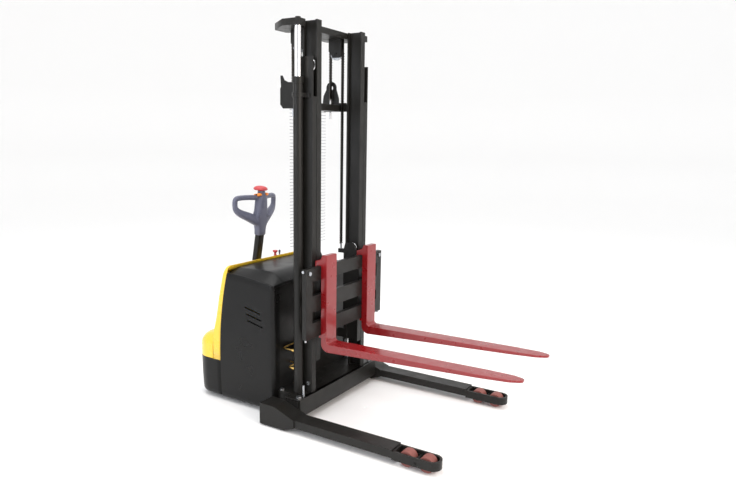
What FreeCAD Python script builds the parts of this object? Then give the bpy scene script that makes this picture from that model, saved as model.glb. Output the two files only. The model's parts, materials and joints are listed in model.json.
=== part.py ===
import FreeCAD, Part
import math
import os
from FreeCAD import Vector

# Walkie stacker with adjustable straddle legs, a two-stage mast and two hook-on forks.
# Millimetres.  +X points to the fork tips, +Y to the operator's left, +Z up, origin on the floor
# under the middle of the machine.  The mast stands partly raised.

# ---- driving sizes ----------------------------------------------------------------------------
rail_depth = 100.0           # rails, along X
rail_web = 9.0
rail_flange = 12.0
inner_rail_in = 205.0        # |Y| of the inner rail's inner edge
inner_rail_width = 43.0
outer_rail_width = 38.0
rail_gap = 3.0               # side gap between the two rails
mast_foot_z = 150.0          # rails stand here
outer_rail_length = 1927.0
inner_rail_extra = 13.0      # the inner rails are this much longer
mast_raised = 180.0          # how far the inner mast stands above its lowest place
mast_seat_gap = 5.0          # inner rail above its foot when lowered

roller_width = 14.0
roller_clear = 1.0           # between a roller and the flanges that it runs in
stub_radius = 11.0
running_gap = 0.05           # radial play of a wheel or roller on its axle
side_gap = 1.0

crossmember_drop = 234.0     # its top below the top of the fixed stage
crossmember_height = 40.0
stud_radius = 6.0
stud_above = 34.0            # the chain studs reach this far above the crossmember
stud_below = 45.0
carriage_stud = 62.0         # and this far above the carriage

rod_radius = 20.0
rod_gap = 0.06               # radial play of a rod in its gland
piston_radius = 23.0
barrel_wall = 4.5
barrel_z = 172.0
barrel_drop = 146.0          # the barrel's top below the top of the fixed stage
gland_height = 34.0
clamp_height = 24.0
cylinder_ahead = 25.5        # cylinder axis ahead of the rails' rear faces
gland_extra = 4.0            # gland radius beyond the barrel's

crosshead_height = 36.0
crosshead_depth = 190.0
crosshead_drop = 3.0         # its top below the top of the inner rails
flange_cut = 215.0           # the outer rails' front flanges end this far below their tops

sheave_radius = 45.0         # to the chain's middle line
sheave_inset = 17.0          # the chains run this far inside the inner rails
sheave_back = 67.0           # sheave axis behind the rails' rear faces
sheave_drop = 84.0           # sheave axis under the crosshead
chain_width = 20.0
chain_thick = 12.0

carriage_half_width = 411.0
carriage_height = 407.0
carriage_z = 508.0
bar_thick = 30.0
carriage_gap = 20.0          # bars in front of the rails
plate_thick = 12.0

fork_reach = 1150.0
fork_width = 100.0
fork_thick = 40.0            # shank
fork_drop = 98.0             # fork underside below the carriage's lower edge
fork_centre = 222.0
fork_play = 0.4
fork_top_above = 65.0        # shank above the carriage's upper edge
fork_heel = 50.0             # outside radius of the heel
fork_inner_radius = 20.0
blade_thick = 50.0           # blade at the heel
blade_tip_thick = 12.0
fork_rise = 16.0             # the blade's top climbs this much to its tip
hook_depth = 12.0

leg_outer = 530.0            # |Y| of a leg's outer face
leg_width = 100.0
leg_height = 46.0
leg_z = 36.0
leg_reach = 677.0            # leg beam's end ahead of the rails' front faces
beam_end_gap = 2.0           # between the leg's bracket and the crossbeam's end
bracket_extra = 6.0         # the leg's bracket stands out this far on each side of the leg
bracket_low = 8.0
bracket_top = 132.0
beam_height = 105.0          # front crossbeam
beam_extra = 10.0            # crossbeam's depth beyond the rails'
beam_ahead = 15.0            # crossbeam's front face ahead of the rails
beam_wall = 8.0
tongue_gap = 0.5
clamp_pin_radius = 6.0
clamp_pin_inset = 57.0       # clamp pin from the crossbeam's end
straddle_travel = 200.0

load_wheel_radius = 42.0
load_wheel_width = 58.0
load_wheel_pitch = 112.0
load_axle_radius = 8.0
yoke_wall = 12.0
yoke_height = 46.0
yoke_drop = 8.0              # the yoke's underside below the leg's
pivot_radius = 9.0
pivot_ahead = 805.0          # bogie pivot ahead of the rails' front faces

body_gap = 19.0              # between the covers and the legs' brackets
body_front = 194.0           # panel's front edge behind the mast front
body_rear = 850.0            # behind the mast front
body_corner = 120.0
shell = 4.0
shell_gap = 1.5              # joint lines between covers
skirt_z = 24.0
skirt_top = 262.0
panel_top_front = 788.0
panel_top_rear = 824.0
cowl_top = 866.0
cover_top = 850.0
hump_top = 432.0
sheet = 10.0                 # chassis plates
sill_z = 60.0                # chassis floor

drive_wheel_radius = 100.0
drive_wheel_width = 70.0
drive_axle_radius = 16.0
turntable_z = 330.0
neck_radius = 60.0           # turntable's neck through the frame plate
tiller_pivot_z = 500.0
tiller_pin_radius = 9.0
tiller_lean = 10.6           # degrees forward of upright
tiller_length = 520.0
head_lean = 3.0
head_top = 290.0             # along the head, from the end of the arm
throttle_z = 258.0
throttle_radius = 9.0
grip_low = 118.0
grip_high = 252.0
grip_bar = 27.0
grip_reach = 195.0
grip_sweep = 18.0            # degrees that the grips sweep back
caster_wheel_radius = 50.0
caster_axle_radius = 8.0
caster_trail = 30.0
caster_wheel_width = 34.0

guard_pitch = 19.0
guard_wire = 3.0

# ---- places worked out from them --------------------------------------------------------------
fork_tip_ahead = carriage_gap + bar_thick + fork_play + fork_thick + fork_reach
mast_front = (body_rear - fork_tip_ahead) / 2      # X of the rails' front faces
rail_back = mast_front - rail_depth
rail_mid = mast_front - rail_depth / 2
inner_rail_out = inner_rail_in + inner_rail_width
outer_rail_in = inner_rail_out + rail_gap
outer_rail_out = outer_rail_in + outer_rail_width
inner_foot_z = mast_foot_z + mast_seat_gap + mast_raised
inner_top_z = inner_foot_z + outer_rail_length + inner_rail_extra
outer_top_z = mast_foot_z + outer_rail_length
roller_radius = rail_depth / 2 - rail_flange - roller_clear
top_roller_z = outer_top_z - roller_radius - 6
low_roller_z = inner_foot_z + roller_radius + 20
crossmember_top = outer_top_z - crossmember_drop
crossmember_low = crossmember_top - crossmember_height
barrel_top = outer_top_z - barrel_drop
crosshead_z = inner_top_z - crosshead_drop - crosshead_height
barrel_radius = piston_radius + barrel_wall
gland_radius = barrel_radius + gland_extra
cylinder_x = rail_back + cylinder_ahead
cylinder_y = outer_rail_out + gland_radius + 1
sheave_x = rail_back - sheave_back
sheave_y = inner_rail_in - sheave_inset
sheave_z = crosshead_z - sheave_drop
strand_front_x = sheave_x + sheave_radius
strand_rear_x = sheave_x - sheave_radius
rear_strand_end = crossmember_top + stud_above
carriage_back = mast_front + carriage_gap
carriage_front = carriage_back + bar_thick
carriage_top = carriage_z + carriage_height
front_strand_end = carriage_top + carriage_stud
fork_z = carriage_z - fork_drop
beam_front = mast_front + beam_ahead
beam_depth = rail_depth + beam_extra
beam_back = beam_front - beam_depth
beam_z = mast_foot_z - beam_height
leg_mid = leg_outer - leg_width / 2
clamp_pin_x = beam_front - 20
pivot_x = mast_front + pivot_ahead
leg_end = mast_front + leg_reach
bracket_half = leg_width / 2 + bracket_extra
beam_half = leg_mid - bracket_half - beam_end_gap
clamp_pin_y = beam_half - clamp_pin_inset
body_half = leg_mid - bracket_half - body_gap
panel_front = mast_front - body_front
body_back = mast_front - body_rear
steer_x = body_back + 115
caster_x = body_back + 190
caster_y = body_half - 120
chassis_back = body_back + 285
cowl_edge_x = body_back + 302
skirt_x = body_back + 232
hood_back_low = steer_x + 52
hood_back_high = steer_x + 112


# ---- helpers ----------------------------------------------------------------------------------
def box(x0, x1, y0, y1, z0, z1):
    return Part.makeBox(x1 - x0, y1 - y0, z1 - z0, Vector(x0, y0, z0))


def cylinder_along_y(radius, x, z, y0, y1):
    return Part.makeCylinder(radius, y1 - y0, Vector(x, y0, z), Vector(0, 1, 0))


def cylinder_along_z(radius, x, y, z0, z1):
    return Part.makeCylinder(radius, z1 - z0, Vector(x, y, z0), Vector(0, 0, 1))


def side_prism(outline, y0, y1):
    """A solid whose outline is given in X and Z."""
    points = [Vector(x, y0, z) for x, z in outline]
    face = Part.Face(Part.makePolygon(points + points[:1]))
    return face.extrude(Vector(0, y1 - y0, 0))


def plan_prism(outline, z0, z1):
    """A solid whose outline is given in X and Y."""
    points = [Vector(x, y, z0) for x, y in outline]
    face = Part.Face(Part.makePolygon(points + points[:1]))
    return face.extrude(Vector(0, 0, z1 - z0))


def fused(shapes):
    whole = shapes[0].multiFuse(shapes[1:])
    return whole.removeSplitter()


def mirrored(shape):
    return shape.mirror(Vector(0, 0, 0), Vector(0, 1, 0))


def pair(shape):
    return [shape, mirrored(shape)]


def rounded(shape, radius, chosen):
    edges = [edge for edge in shape.Edges if chosen(edge)]
    return shape.makeFillet(radius, edges)


def upright(edge):
    a, b = edge.Vertexes[0].Point, edge.Vertexes[-1].Point
    return abs(a.x - b.x) < 1e-6 and abs(a.y - b.y) < 1e-6 and abs(a.z - b.z) > 1e-6


def save(name, *shapes):
    solids = [solid for shape in shapes for solid in shape.Solids]
    part = solids[0] if len(solids) == 1 else Part.makeCompound(solids)
    part.exportStep("parts/" + name + ".step")


def edge_at(x, z):
    """Chooses the edge along Y that stands at one point of the side view."""
    def chosen(edge):
        return all(abs(v.Point.x - x) < 0.01 and abs(v.Point.z - z) < 0.01
                   for v in edge.Vertexes)
    return chosen


def along_y(edge):
    """Chooses the edges that run mostly along Y."""
    a, b = edge.Vertexes[0].Point, edge.Vertexes[-1].Point
    return abs(a.y - b.y) > 20 and abs(a.y - b.y) > abs(a.x - b.x)


def bolt(x, y, z, radius, head, axis):
    """A hexagon-head bolt that stands out along an axis from a seat point."""
    turn = FreeCAD.Rotation(Vector(0, 0, 1), axis)
    corners = [Vector(radius * 1.8 * math.cos(k * math.pi / 3),
                      radius * 1.8 * math.sin(k * math.pi / 3), 0) for k in range(7)]
    hexagon = Part.Face(Part.makePolygon(corners)).extrude(Vector(0, 0, head))
    hexagon.Placement = FreeCAD.Placement(Vector(x, y, z), turn)
    return hexagon


# ---- mast, fixed stage ------------------------------------------------------------------------
def outer_rail():
    """A channel that opens towards the middle of the mast."""
    whole = box(rail_back, mast_front, outer_rail_in, outer_rail_out, mast_foot_z, outer_top_z)
    hollow = box(rail_back + rail_flange, mast_front - rail_flange, outer_rail_in,
                 outer_rail_out - rail_web, mast_foot_z, outer_top_z)
    stub = cylinder_along_y(stub_radius, rail_mid, top_roller_z,
                            inner_rail_out - roller_width - side_gap, outer_rail_out - rail_web)
    window = box(mast_front - rail_flange, mast_front, outer_rail_in, outer_rail_out - rail_web,
                 outer_top_z - flange_cut, outer_top_z)
    return fused([whole.cut(hollow).cut(window), stub])


def inner_rail():
    """An I-section rail; carriage rollers run on its inner side, mast rollers on its outer side."""
    whole = box(rail_back, mast_front, inner_rail_in, inner_rail_out, inner_foot_z, inner_top_z)
    recess = (inner_rail_width - rail_web) / 2
    x0, x1 = rail_back + rail_flange, mast_front - rail_flange
    inside = box(x0, x1, inner_rail_in, inner_rail_in + recess, inner_foot_z, inner_top_z)
    outside = box(x0, x1, inner_rail_out - recess, inner_rail_out, inner_foot_z, inner_top_z)
    stub = cylinder_along_y(stub_radius, rail_mid, low_roller_z,
                            inner_rail_out - recess, outer_rail_out - rail_web - side_gap)
    return fused([whole.cut(inside).cut(outside), stub])


def roller(z, y0, y1):
    disc = cylinder_along_y(roller_radius, rail_mid, z, y0, y1)
    bore = cylinder_along_y(stub_radius + running_gap, rail_mid, z, y0, y1)
    return disc.cut(bore)


def build_mast():
    save("outer_rails", *pair(outer_rail()))
    save("inner_rails", *pair(inner_rail()))
    save("outer_rail_rollers", *pair(roller(top_roller_z, inner_rail_out - roller_width,
                                            inner_rail_out - side_gap)))
    save("inner_rail_rollers", *pair(roller(low_roller_z, outer_rail_in + side_gap,
                                            outer_rail_out - rail_web - side_gap - 2)))

    # top crossmember of the fixed stage, with its side brackets and the chain studs' holes
    bracket_y = inner_rail_in + 1
    bracket_thick = 6.0
    eye_radius = 14.0
    tie_gap = 1.0                # clear of the moving rail's rear face
    low, top = crossmember_low, crossmember_top
    beam = box(strand_rear_x - 24, strand_front_x - 20, -bracket_y, bracket_y, low, top)
    for side in (1, -1):
        beam = beam.cut(cylinder_along_z(stud_radius + 0.5, strand_rear_x, side * sheave_y,
                                         low, top))
    save("outer_crossmember", beam)
    back = rail_back - 190
    front = rail_back - bracket_thick
    # a lifting lug on the left and a horn-shaped plate on the right
    eye_x, eye_z, lug_radius = back + 71, top + 107, 38.0
    lug = [(front, low), (back + 20, low), (back, low + 24), (back + 12, top + 60),
           (eye_x - lug_radius + 1, eye_z - 8), (eye_x, eye_z + 4), (eye_x + lug_radius - 1, eye_z - 8),
           (back + 128, top + 40), (back + 128, top + 14), (front, top + 14)]
    horn = [(front, low), (back + 20, low), (back, low + 24), (back, top + 73), (back + 6, top + 83),
            (back + 2, top + 147), (back + 16, top + 147), (back + 30, top + 121),
            (back + 58, top + 109), (front, top + 105)]
    brackets = []
    for outline, is_lug in ((lug, True), (horn, False)):
        plate = side_prism(outline, bracket_y, bracket_y + bracket_thick)
        if is_lug:
            crown = cylinder_along_y(lug_radius, eye_x, eye_z, bracket_y, bracket_y + bracket_thick)
            plate = fused([plate, crown])
            plate = plate.cut(cylinder_along_y(eye_radius, eye_x, eye_z, bracket_y,
                                               bracket_y + bracket_thick))
        tie = box(front - tie_gap, rail_back - tie_gap, bracket_y, outer_rail_out, low, top + 7)
        pad = box(rail_back - tie_gap, rail_back, outer_rail_in + tie_gap, outer_rail_out,
                  low, top + 7)
        both = fused([plate, tie, pad])
        brackets.append(both if is_lug else mirrored(both))
    save("mast_brackets", *brackets)

    # guard: horizontal wires on a few uprights behind the mast
    guard_x = strand_rear_x - 30
    half, low, high = sheave_y - 6, 985.0, crossmember_low - 3
    rows = int((high - low - guard_wire) / guard_pitch)
    outer = Part.makePolygon([Vector(guard_x, -half, low), Vector(guard_x, half, low),
                              Vector(guard_x, half, high), Vector(guard_x, -half, high),
                              Vector(guard_x, -half, low)])
    holes = []
    columns = 4
    step = (2 * half - guard_wire) / columns
    pitch = (high - low - guard_wire) / rows
    for row in range(rows):
        for column in range(columns):
            y0 = -half + guard_wire + column * step
            z0 = low + guard_wire + row * pitch
            y1, z1 = y0 + step - guard_wire, z0 + pitch - guard_wire
            holes.append(Part.makePolygon([Vector(guard_x, y0, z0), Vector(guard_x, y1, z0),
                                           Vector(guard_x, y1, z1), Vector(guard_x, y0, z1),
                                           Vector(guard_x, y0, z0)]))
    face = Part.Face([outer] + holes)
    save("mast_guard", face.extrude(Vector(-guard_wire, 0, 0)))


def build_cylinders():
    """Two single-acting lift cylinders beside the rails, their rods under the crosshead."""
    foot_z = mast_foot_z + 2
    clamp_low = crossmember_top + 13
    clamp_high = clamp_low + clamp_height
    barrels, glands, clamps, rods = [], [], [], []
    for side in (1, -1):
        y = side * cylinder_y
        outside = cylinder_along_z(barrel_radius, cylinder_x, y, foot_z, barrel_top)
        bore = cylinder_along_z(piston_radius + rod_gap, cylinder_x, y, barrel_z, barrel_top)
        barrels.append(outside.cut(bore))
        gland = cylinder_along_z(gland_radius, cylinder_x, y, barrel_top,
                                 barrel_top + gland_height)
        glands.append(gland.cut(cylinder_along_z(rod_radius + rod_gap, cylinder_x, y, barrel_top,
                                                 barrel_top + gland_height)))
        band = cylinder_along_z(barrel_radius + 6, cylinder_x, y, clamp_low, clamp_high)
        band = band.cut(cylinder_along_z(barrel_radius, cylinder_x, y, clamp_low, clamp_high))
        foot = box(cylinder_x + barrel_radius + 1, cylinder_x + barrel_radius + 31,
                   *sorted((side * outer_rail_out, side * (outer_rail_out + 8))), clamp_low, clamp_high)
        arm = box(cylinder_x + barrel_radius + 1, cylinder_x + barrel_radius + 6,
                  *sorted((side * outer_rail_out, side * cylinder_y)), clamp_low, clamp_high)
        keep = box(cylinder_x - 60, cylinder_x + 60, *sorted((side * outer_rail_out, y + side * 60)),
                   clamp_low, clamp_high)
        clamps.append(fused([band.common(keep), arm, foot]))
        piston_z = barrel_z + mast_raised + mast_seat_gap
        rod = cylinder_along_z(rod_radius, cylinder_x, y, piston_z, crosshead_z)
        piston = cylinder_along_z(piston_radius, cylinder_x, y, piston_z, piston_z + 40)
        rods.append(fused([rod, piston]))
    save("lift_cylinders", *barrels)
    save("cylinder_glands", *glands)
    save("cylinder_clamps", *clamps)
    save("piston_rods", *rods)


def build_inner_mast():
    back = rail_back - crosshead_depth
    half = outer_rail_out - 4
    # its ears reach forward past the outer rails, over the two rods
    ear_in, ear_out = outer_rail_out + 2, cylinder_y + barrel_radius + 2
    ear_front = cylinder_x + barrel_radius
    step = rail_back - 1.5
    side_line = [(rail_back, inner_rail_out), (step, inner_rail_out), (step, ear_in),
                 (ear_front, ear_in), (ear_front, ear_out), (back + 130, ear_out),
                 (back + 40, half), (back, half - 30), (back, half - 130), (back + 60, half - 175)]
    outline = side_line + [(x, -y) for x, y in reversed(side_line)]
    plate = plan_prism(outline, crosshead_z, crosshead_z + crosshead_height)
    top = crosshead_z + crosshead_height
    caps = [cylinder_along_z(15, cylinder_x, side * cylinder_y, top - 1, top + 9) for side in (1, -1)]
    save("inner_crosshead", fused([plate] + caps))
    tie_z = inner_foot_z + 10
    ear = 11.0
    tie_back = strand_front_x - 30
    tie = box(tie_back - 34, tie_back, -inner_rail_in - ear, inner_rail_in + ear, tie_z, tie_z + 60)
    ears = [box(tie_back - 1, rail_back, side * inner_rail_in if side > 0 else -inner_rail_in - ear,
                side * inner_rail_in + ear if side > 0 else -inner_rail_in, tie_z, tie_z + 60)
            for side in (1, -1)]
    save("inner_tie", fused([tie] + ears))

    plate, play = 5.0, 1.5
    half_gap = chain_width / 2 + play
    brackets, sheaves = [], []
    for side in (1, -1):
        y = side * sheave_y
        for away in (-1, 1):
            y0 = y + away * (half_gap + plate / 2) - plate / 2
            outline = [(sheave_x - 50, crosshead_z), (sheave_x - 50, sheave_z + 16),
                       (sheave_x - 18, sheave_z - 24), (sheave_x + 34, sheave_z - 24),
                       (sheave_x + 44, sheave_z - 12), (sheave_x + 44, crosshead_z)]
            brackets.append(side_prism(outline, y0, y0 + plate))
        pin = cylinder_along_y(9, sheave_x, sheave_z, y - half_gap - plate - 5,
                               y + half_gap + plate + 5)
        two = brackets[-2:]
        del brackets[-2:]
        brackets.append(fused(two + [pin]))
        rim = sheave_radius - chain_thick / 2 - 0.3
        wheel = cylinder_along_y(rim, sheave_x, sheave_z, y - chain_width / 2, y + chain_width / 2)
        sheaves.append(wheel.cut(cylinder_along_y(9 + running_gap, sheave_x, sheave_z,
                                                  y - chain_width, y + chain_width)))
    save("sheave_brackets", *brackets)
    save("chain_sheaves", *sheaves)

    # chains: the rear strands run down to the fixed crossmember, the front ones to the carriage
    rear, front = [], []
    for side in (1, -1):
        y0, y1 = side * sheave_y - chain_width / 2, side * sheave_y + chain_width / 2
        rear.append(box(strand_rear_x - chain_thick / 2, strand_rear_x + chain_thick / 2, y0, y1,
                        rear_strand_end, sheave_z))
        down = box(strand_front_x - chain_thick / 2, strand_front_x + chain_thick / 2, y0, y1,
                   front_strand_end, sheave_z)
        ring = cylinder_along_y(sheave_radius + chain_thick / 2, sheave_x, sheave_z, y0, y1)
        ring = ring.cut(cylinder_along_y(sheave_radius - chain_thick / 2, sheave_x, sheave_z,
                                         y0, y1))
        over = ring.common(box(sheave_x - 80, sheave_x + 80, y0, y1, sheave_z, sheave_z + 80))
        front.append(fused([down, over]))
    save("chain_rear_strands", *rear)
    save("chain_front_strands", *front)


# ---- carriage and forks -----------------------------------------------------------------------
def build_carriage():
    half = carriage_half_width
    bars = [(carriage_z, carriage_z + 88), (carriage_z + 152, carriage_z + 246),
            (carriage_top - 78, carriage_top)]
    solids = [box(carriage_back, carriage_front, -half, half, z0, z1) for z0, z1 in bars]
    end_width = 60.0
    for side in (1, -1):
        y0 = half - end_width if side > 0 else -half
        solids.append(box(carriage_back, carriage_front, y0, y0 + end_width, carriage_z,
                          carriage_top))
    save("carriage_frame", fused(solids))

    plate_out = sheave_y
    low, high = carriage_z + 32, carriage_top + 70
    upper_z, lower_z = carriage_top + 30, carriage_z + 92
    hook_room = 16.0             # for the forks' upper hooks behind the top bar
    plates, upper, lower = [], [], []
    outline = [(carriage_back, low), (rail_back + 6, low), (rail_back + 6, carriage_top),
               (strand_front_x - 14, carriage_top), (strand_front_x - 14, carriage_top + 25),
               (rail_back + 6, carriage_top + 25), (rail_back + 20, high), (mast_front - 24, high),
               (carriage_back - hook_room, carriage_top + 20),
               (carriage_back - hook_room, carriage_top - 60), (carriage_back, carriage_top - 60)]
    plate = side_prism(outline, plate_out - plate_thick, plate_out)
    shelf = box(strand_front_x - 14, strand_front_x + 16, plate_out - plate_thick,
                sheave_y + 14, carriage_top, carriage_top + 25)
    roller_in = inner_rail_in + side_gap
    roller_out = inner_rail_in + (inner_rail_width - rail_web) / 2 - side_gap
    stubs = [cylinder_along_y(stub_radius, rail_mid, z, plate_out - 1, roller_out)
             for z in (upper_z, lower_z)]
    whole = fused([plate, shelf] + stubs)
    save("roller_plates", *pair(whole))
    save("upper_carriage_rollers", *pair(roller(upper_z, roller_in, roller_out)))
    save("lower_carriage_rollers", *pair(roller(lower_z, roller_in, roller_out)))

    bolts = []
    for side in (1, -1):
        y = side * (half - 14)
        bolts.append(bolt(carriage_front, side * (half - 30), carriage_top - 26, 7, 7,
                          Vector(1, 0, 0)))
        bolts.append(bolt(carriage_back + 12, side * half, carriage_top - 14, 5, 8,
                          Vector(0, side, 0)))
        bolts.append(cylinder_along_z(6, carriage_back + 15, y, carriage_z - 14, carriage_z))
        bolts.append(cylinder_along_z(stud_radius, strand_front_x, side * sheave_y,
                                      carriage_top + 25, front_strand_end))
    save("carriage_bolts", *bolts)


def fork():
    """An L-shaped fork at Y = 0: hooks, shank, rounded heel and a blade that tapers to its tip."""
    face = carriage_front + fork_play
    front = face + fork_thick
    tip = front + fork_reach
    top = carriage_top + fork_top_above
    blade_top = fork_z + blade_thick
    tip_top = blade_top + fork_rise
    hook_back = carriage_back - fork_play
    catch_x = face - hook_depth - 4
    lip_z = carriage_z - fork_play
    lip_low = lip_z - 18
    outline = [(front, top), (front, blade_top), (tip, tip_top), (tip, tip_top - blade_tip_thick),
               (face + fork_heel, fork_z), (face, fork_z), (face, lip_low), (catch_x, lip_low),
               (catch_x, lip_z), (face, lip_z), (face, carriage_top + fork_play),
               (hook_back, carriage_top + fork_play), (hook_back, carriage_top - 24),
               (hook_back - hook_depth, carriage_top - 24),
               (hook_back - hook_depth, carriage_top + 26), (face - 4, carriage_top + 40),
               (face + 8, top)]
    solid = side_prism(outline, -fork_width / 2, fork_width / 2)
    solid = rounded(solid, fork_heel - 1, edge_at(face, fork_z))
    solid = rounded(solid, fork_inner_radius, edge_at(front, blade_top))
    # the blade narrows to a rounded tip
    half, end = fork_width / 2, fork_width / 4
    start = tip - 210
    plan = [(start, half), (tip - 60, half - 9), (tip - 14, end), (tip, end / 2)]
    for side in (1, -1):
        cut = [(x, side * y) for x, y in plan] + [(tip + 5, side * end / 2),
                                                  (tip + 5, side * (half + 5)),
                                                  (start, side * (half + 5))]
        solid = solid.cut(plan_prism(cut, fork_z - 5, tip_top + 5))
    return solid


def build_forks():
    for name, side in (("fork_left", 1), ("fork_right", -1)):
        one = fork()
        one.translate(Vector(0, side * fork_centre, 0))
        save(name, one)


# ---- straddle legs ----------------------------------------------------------------------------
def leg():
    """The left leg's beam, bracket and the tongue that slides inside the crossbeam."""
    y0, y1 = leg_outer - leg_width, leg_outer
    bracket_back = mast_front - 190
    slope_start = mast_front - 85
    slope_foot = mast_front + 55
    top = leg_z + leg_height
    beam = box(bracket_back + 20, leg_end, y0, y1, leg_z, top)
    outline = [(bracket_back, bracket_low), (bracket_back, bracket_top), (slope_start, bracket_top),
               (slope_foot, top), (slope_foot, leg_z), (slope_foot - 70, bracket_low)]
    flare = side_prism(outline, leg_mid - bracket_half, leg_mid + bracket_half)
    inside_x0, inside_x1 = beam_back + beam_wall + tongue_gap, beam_front - beam_wall - tongue_gap
    tongue = box(inside_x0, inside_x1, y0 - 360, y0 - 1, beam_z + beam_wall + tongue_gap,
                 mast_foot_z - beam_wall - tongue_gap)
    return beam, flare, tongue


def yoke(y0, y1):
    """A loop around the two load wheels, closed by a round nose."""
    nose = (y1 - y0) / 2
    end = pivot_x + load_wheel_pitch / 2 + load_wheel_radius - nose + 30
    mid = (y0 + y1) / 2
    z0, z1 = leg_z - yoke_drop, leg_z - yoke_drop + yoke_height
    outer = fused([box(leg_end - 1, end, y0, y1, z0, z1), cylinder_along_z(nose, end, mid, z0, z1)])
    inner = fused([box(leg_end + 12, end, y0 + yoke_wall, y1 - yoke_wall, z0, z1),
                   cylinder_along_z(nose - yoke_wall, end, mid, z0, z1)])
    return outer.cut(inner)


def build_legs():
    y0, y1 = leg_outer - leg_width, leg_outer
    pivot_z = load_wheel_radius
    beam, flare, tongue = leg()
    loop = yoke(y0, y1)
    pin = cylinder_along_y(pivot_radius, pivot_x, pivot_z, y0 + 2, y1 + 4)
    # the clamp pin's slot lets the leg slide outwards
    slot_half = clamp_pin_radius + 0.5
    slot = box(clamp_pin_x - slot_half, clamp_pin_x + slot_half, clamp_pin_y - straddle_travel - 8,
               clamp_pin_y + 8, beam_z, mast_foot_z)
    whole = fused([beam, flare, tongue.cut(slot), loop, pin])
    save("leg_left", whole)
    save("leg_right", mirrored(whole))

    # bogie: two rocker plates on the pivot pin, and two axles
    rocker, rocker_gap = 5.0, 2.0
    half = load_wheel_pitch / 2
    plates = []
    for outer_face in (y0 + yoke_wall + rocker_gap, y1 - yoke_wall - rocker_gap - rocker):
        bar = box(pivot_x - half, pivot_x + half, outer_face, outer_face + rocker,
                  pivot_z - 15, pivot_z + 15)
        ends = [cylinder_along_y(15, pivot_x + s * half, pivot_z, outer_face, outer_face + rocker)
                for s in (1, -1)]
        plates.append(fused([bar] + ends))
    axle_y0, axle_y1 = y0 + yoke_wall + rocker_gap, y1 - yoke_wall - rocker_gap
    axles = [cylinder_along_y(load_axle_radius, pivot_x + s * half, pivot_z, axle_y0, axle_y1)
             for s in (1, -1)]
    bush = cylinder_along_y(pivot_radius + 3.5, pivot_x, pivot_z, axle_y0, axle_y1)
    web = box(pivot_x - 5, pivot_x + 5, axle_y0, axle_y1, pivot_z - 15, pivot_z + 15)
    bogie = fused(plates + axles + [bush, web])
    bogie = bogie.cut(cylinder_along_y(pivot_radius + running_gap, pivot_x, pivot_z, y0, y1))
    save("bogie_left", bogie)
    save("bogie_right", mirrored(bogie))
    for name, s in (("front", 1), ("rear", -1)):
        x = pivot_x + s * half
        tread = cylinder_along_y(load_wheel_radius, x, pivot_z, leg_mid - load_wheel_width / 2,
                                 leg_mid + load_wheel_width / 2)
        tread = tread.cut(cylinder_along_y(load_axle_radius + running_gap, x, pivot_z, y0, y1))
        save("load_wheel_" + name + "_left", tread)
        save("load_wheel_" + name + "_right", mirrored(tread))


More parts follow.
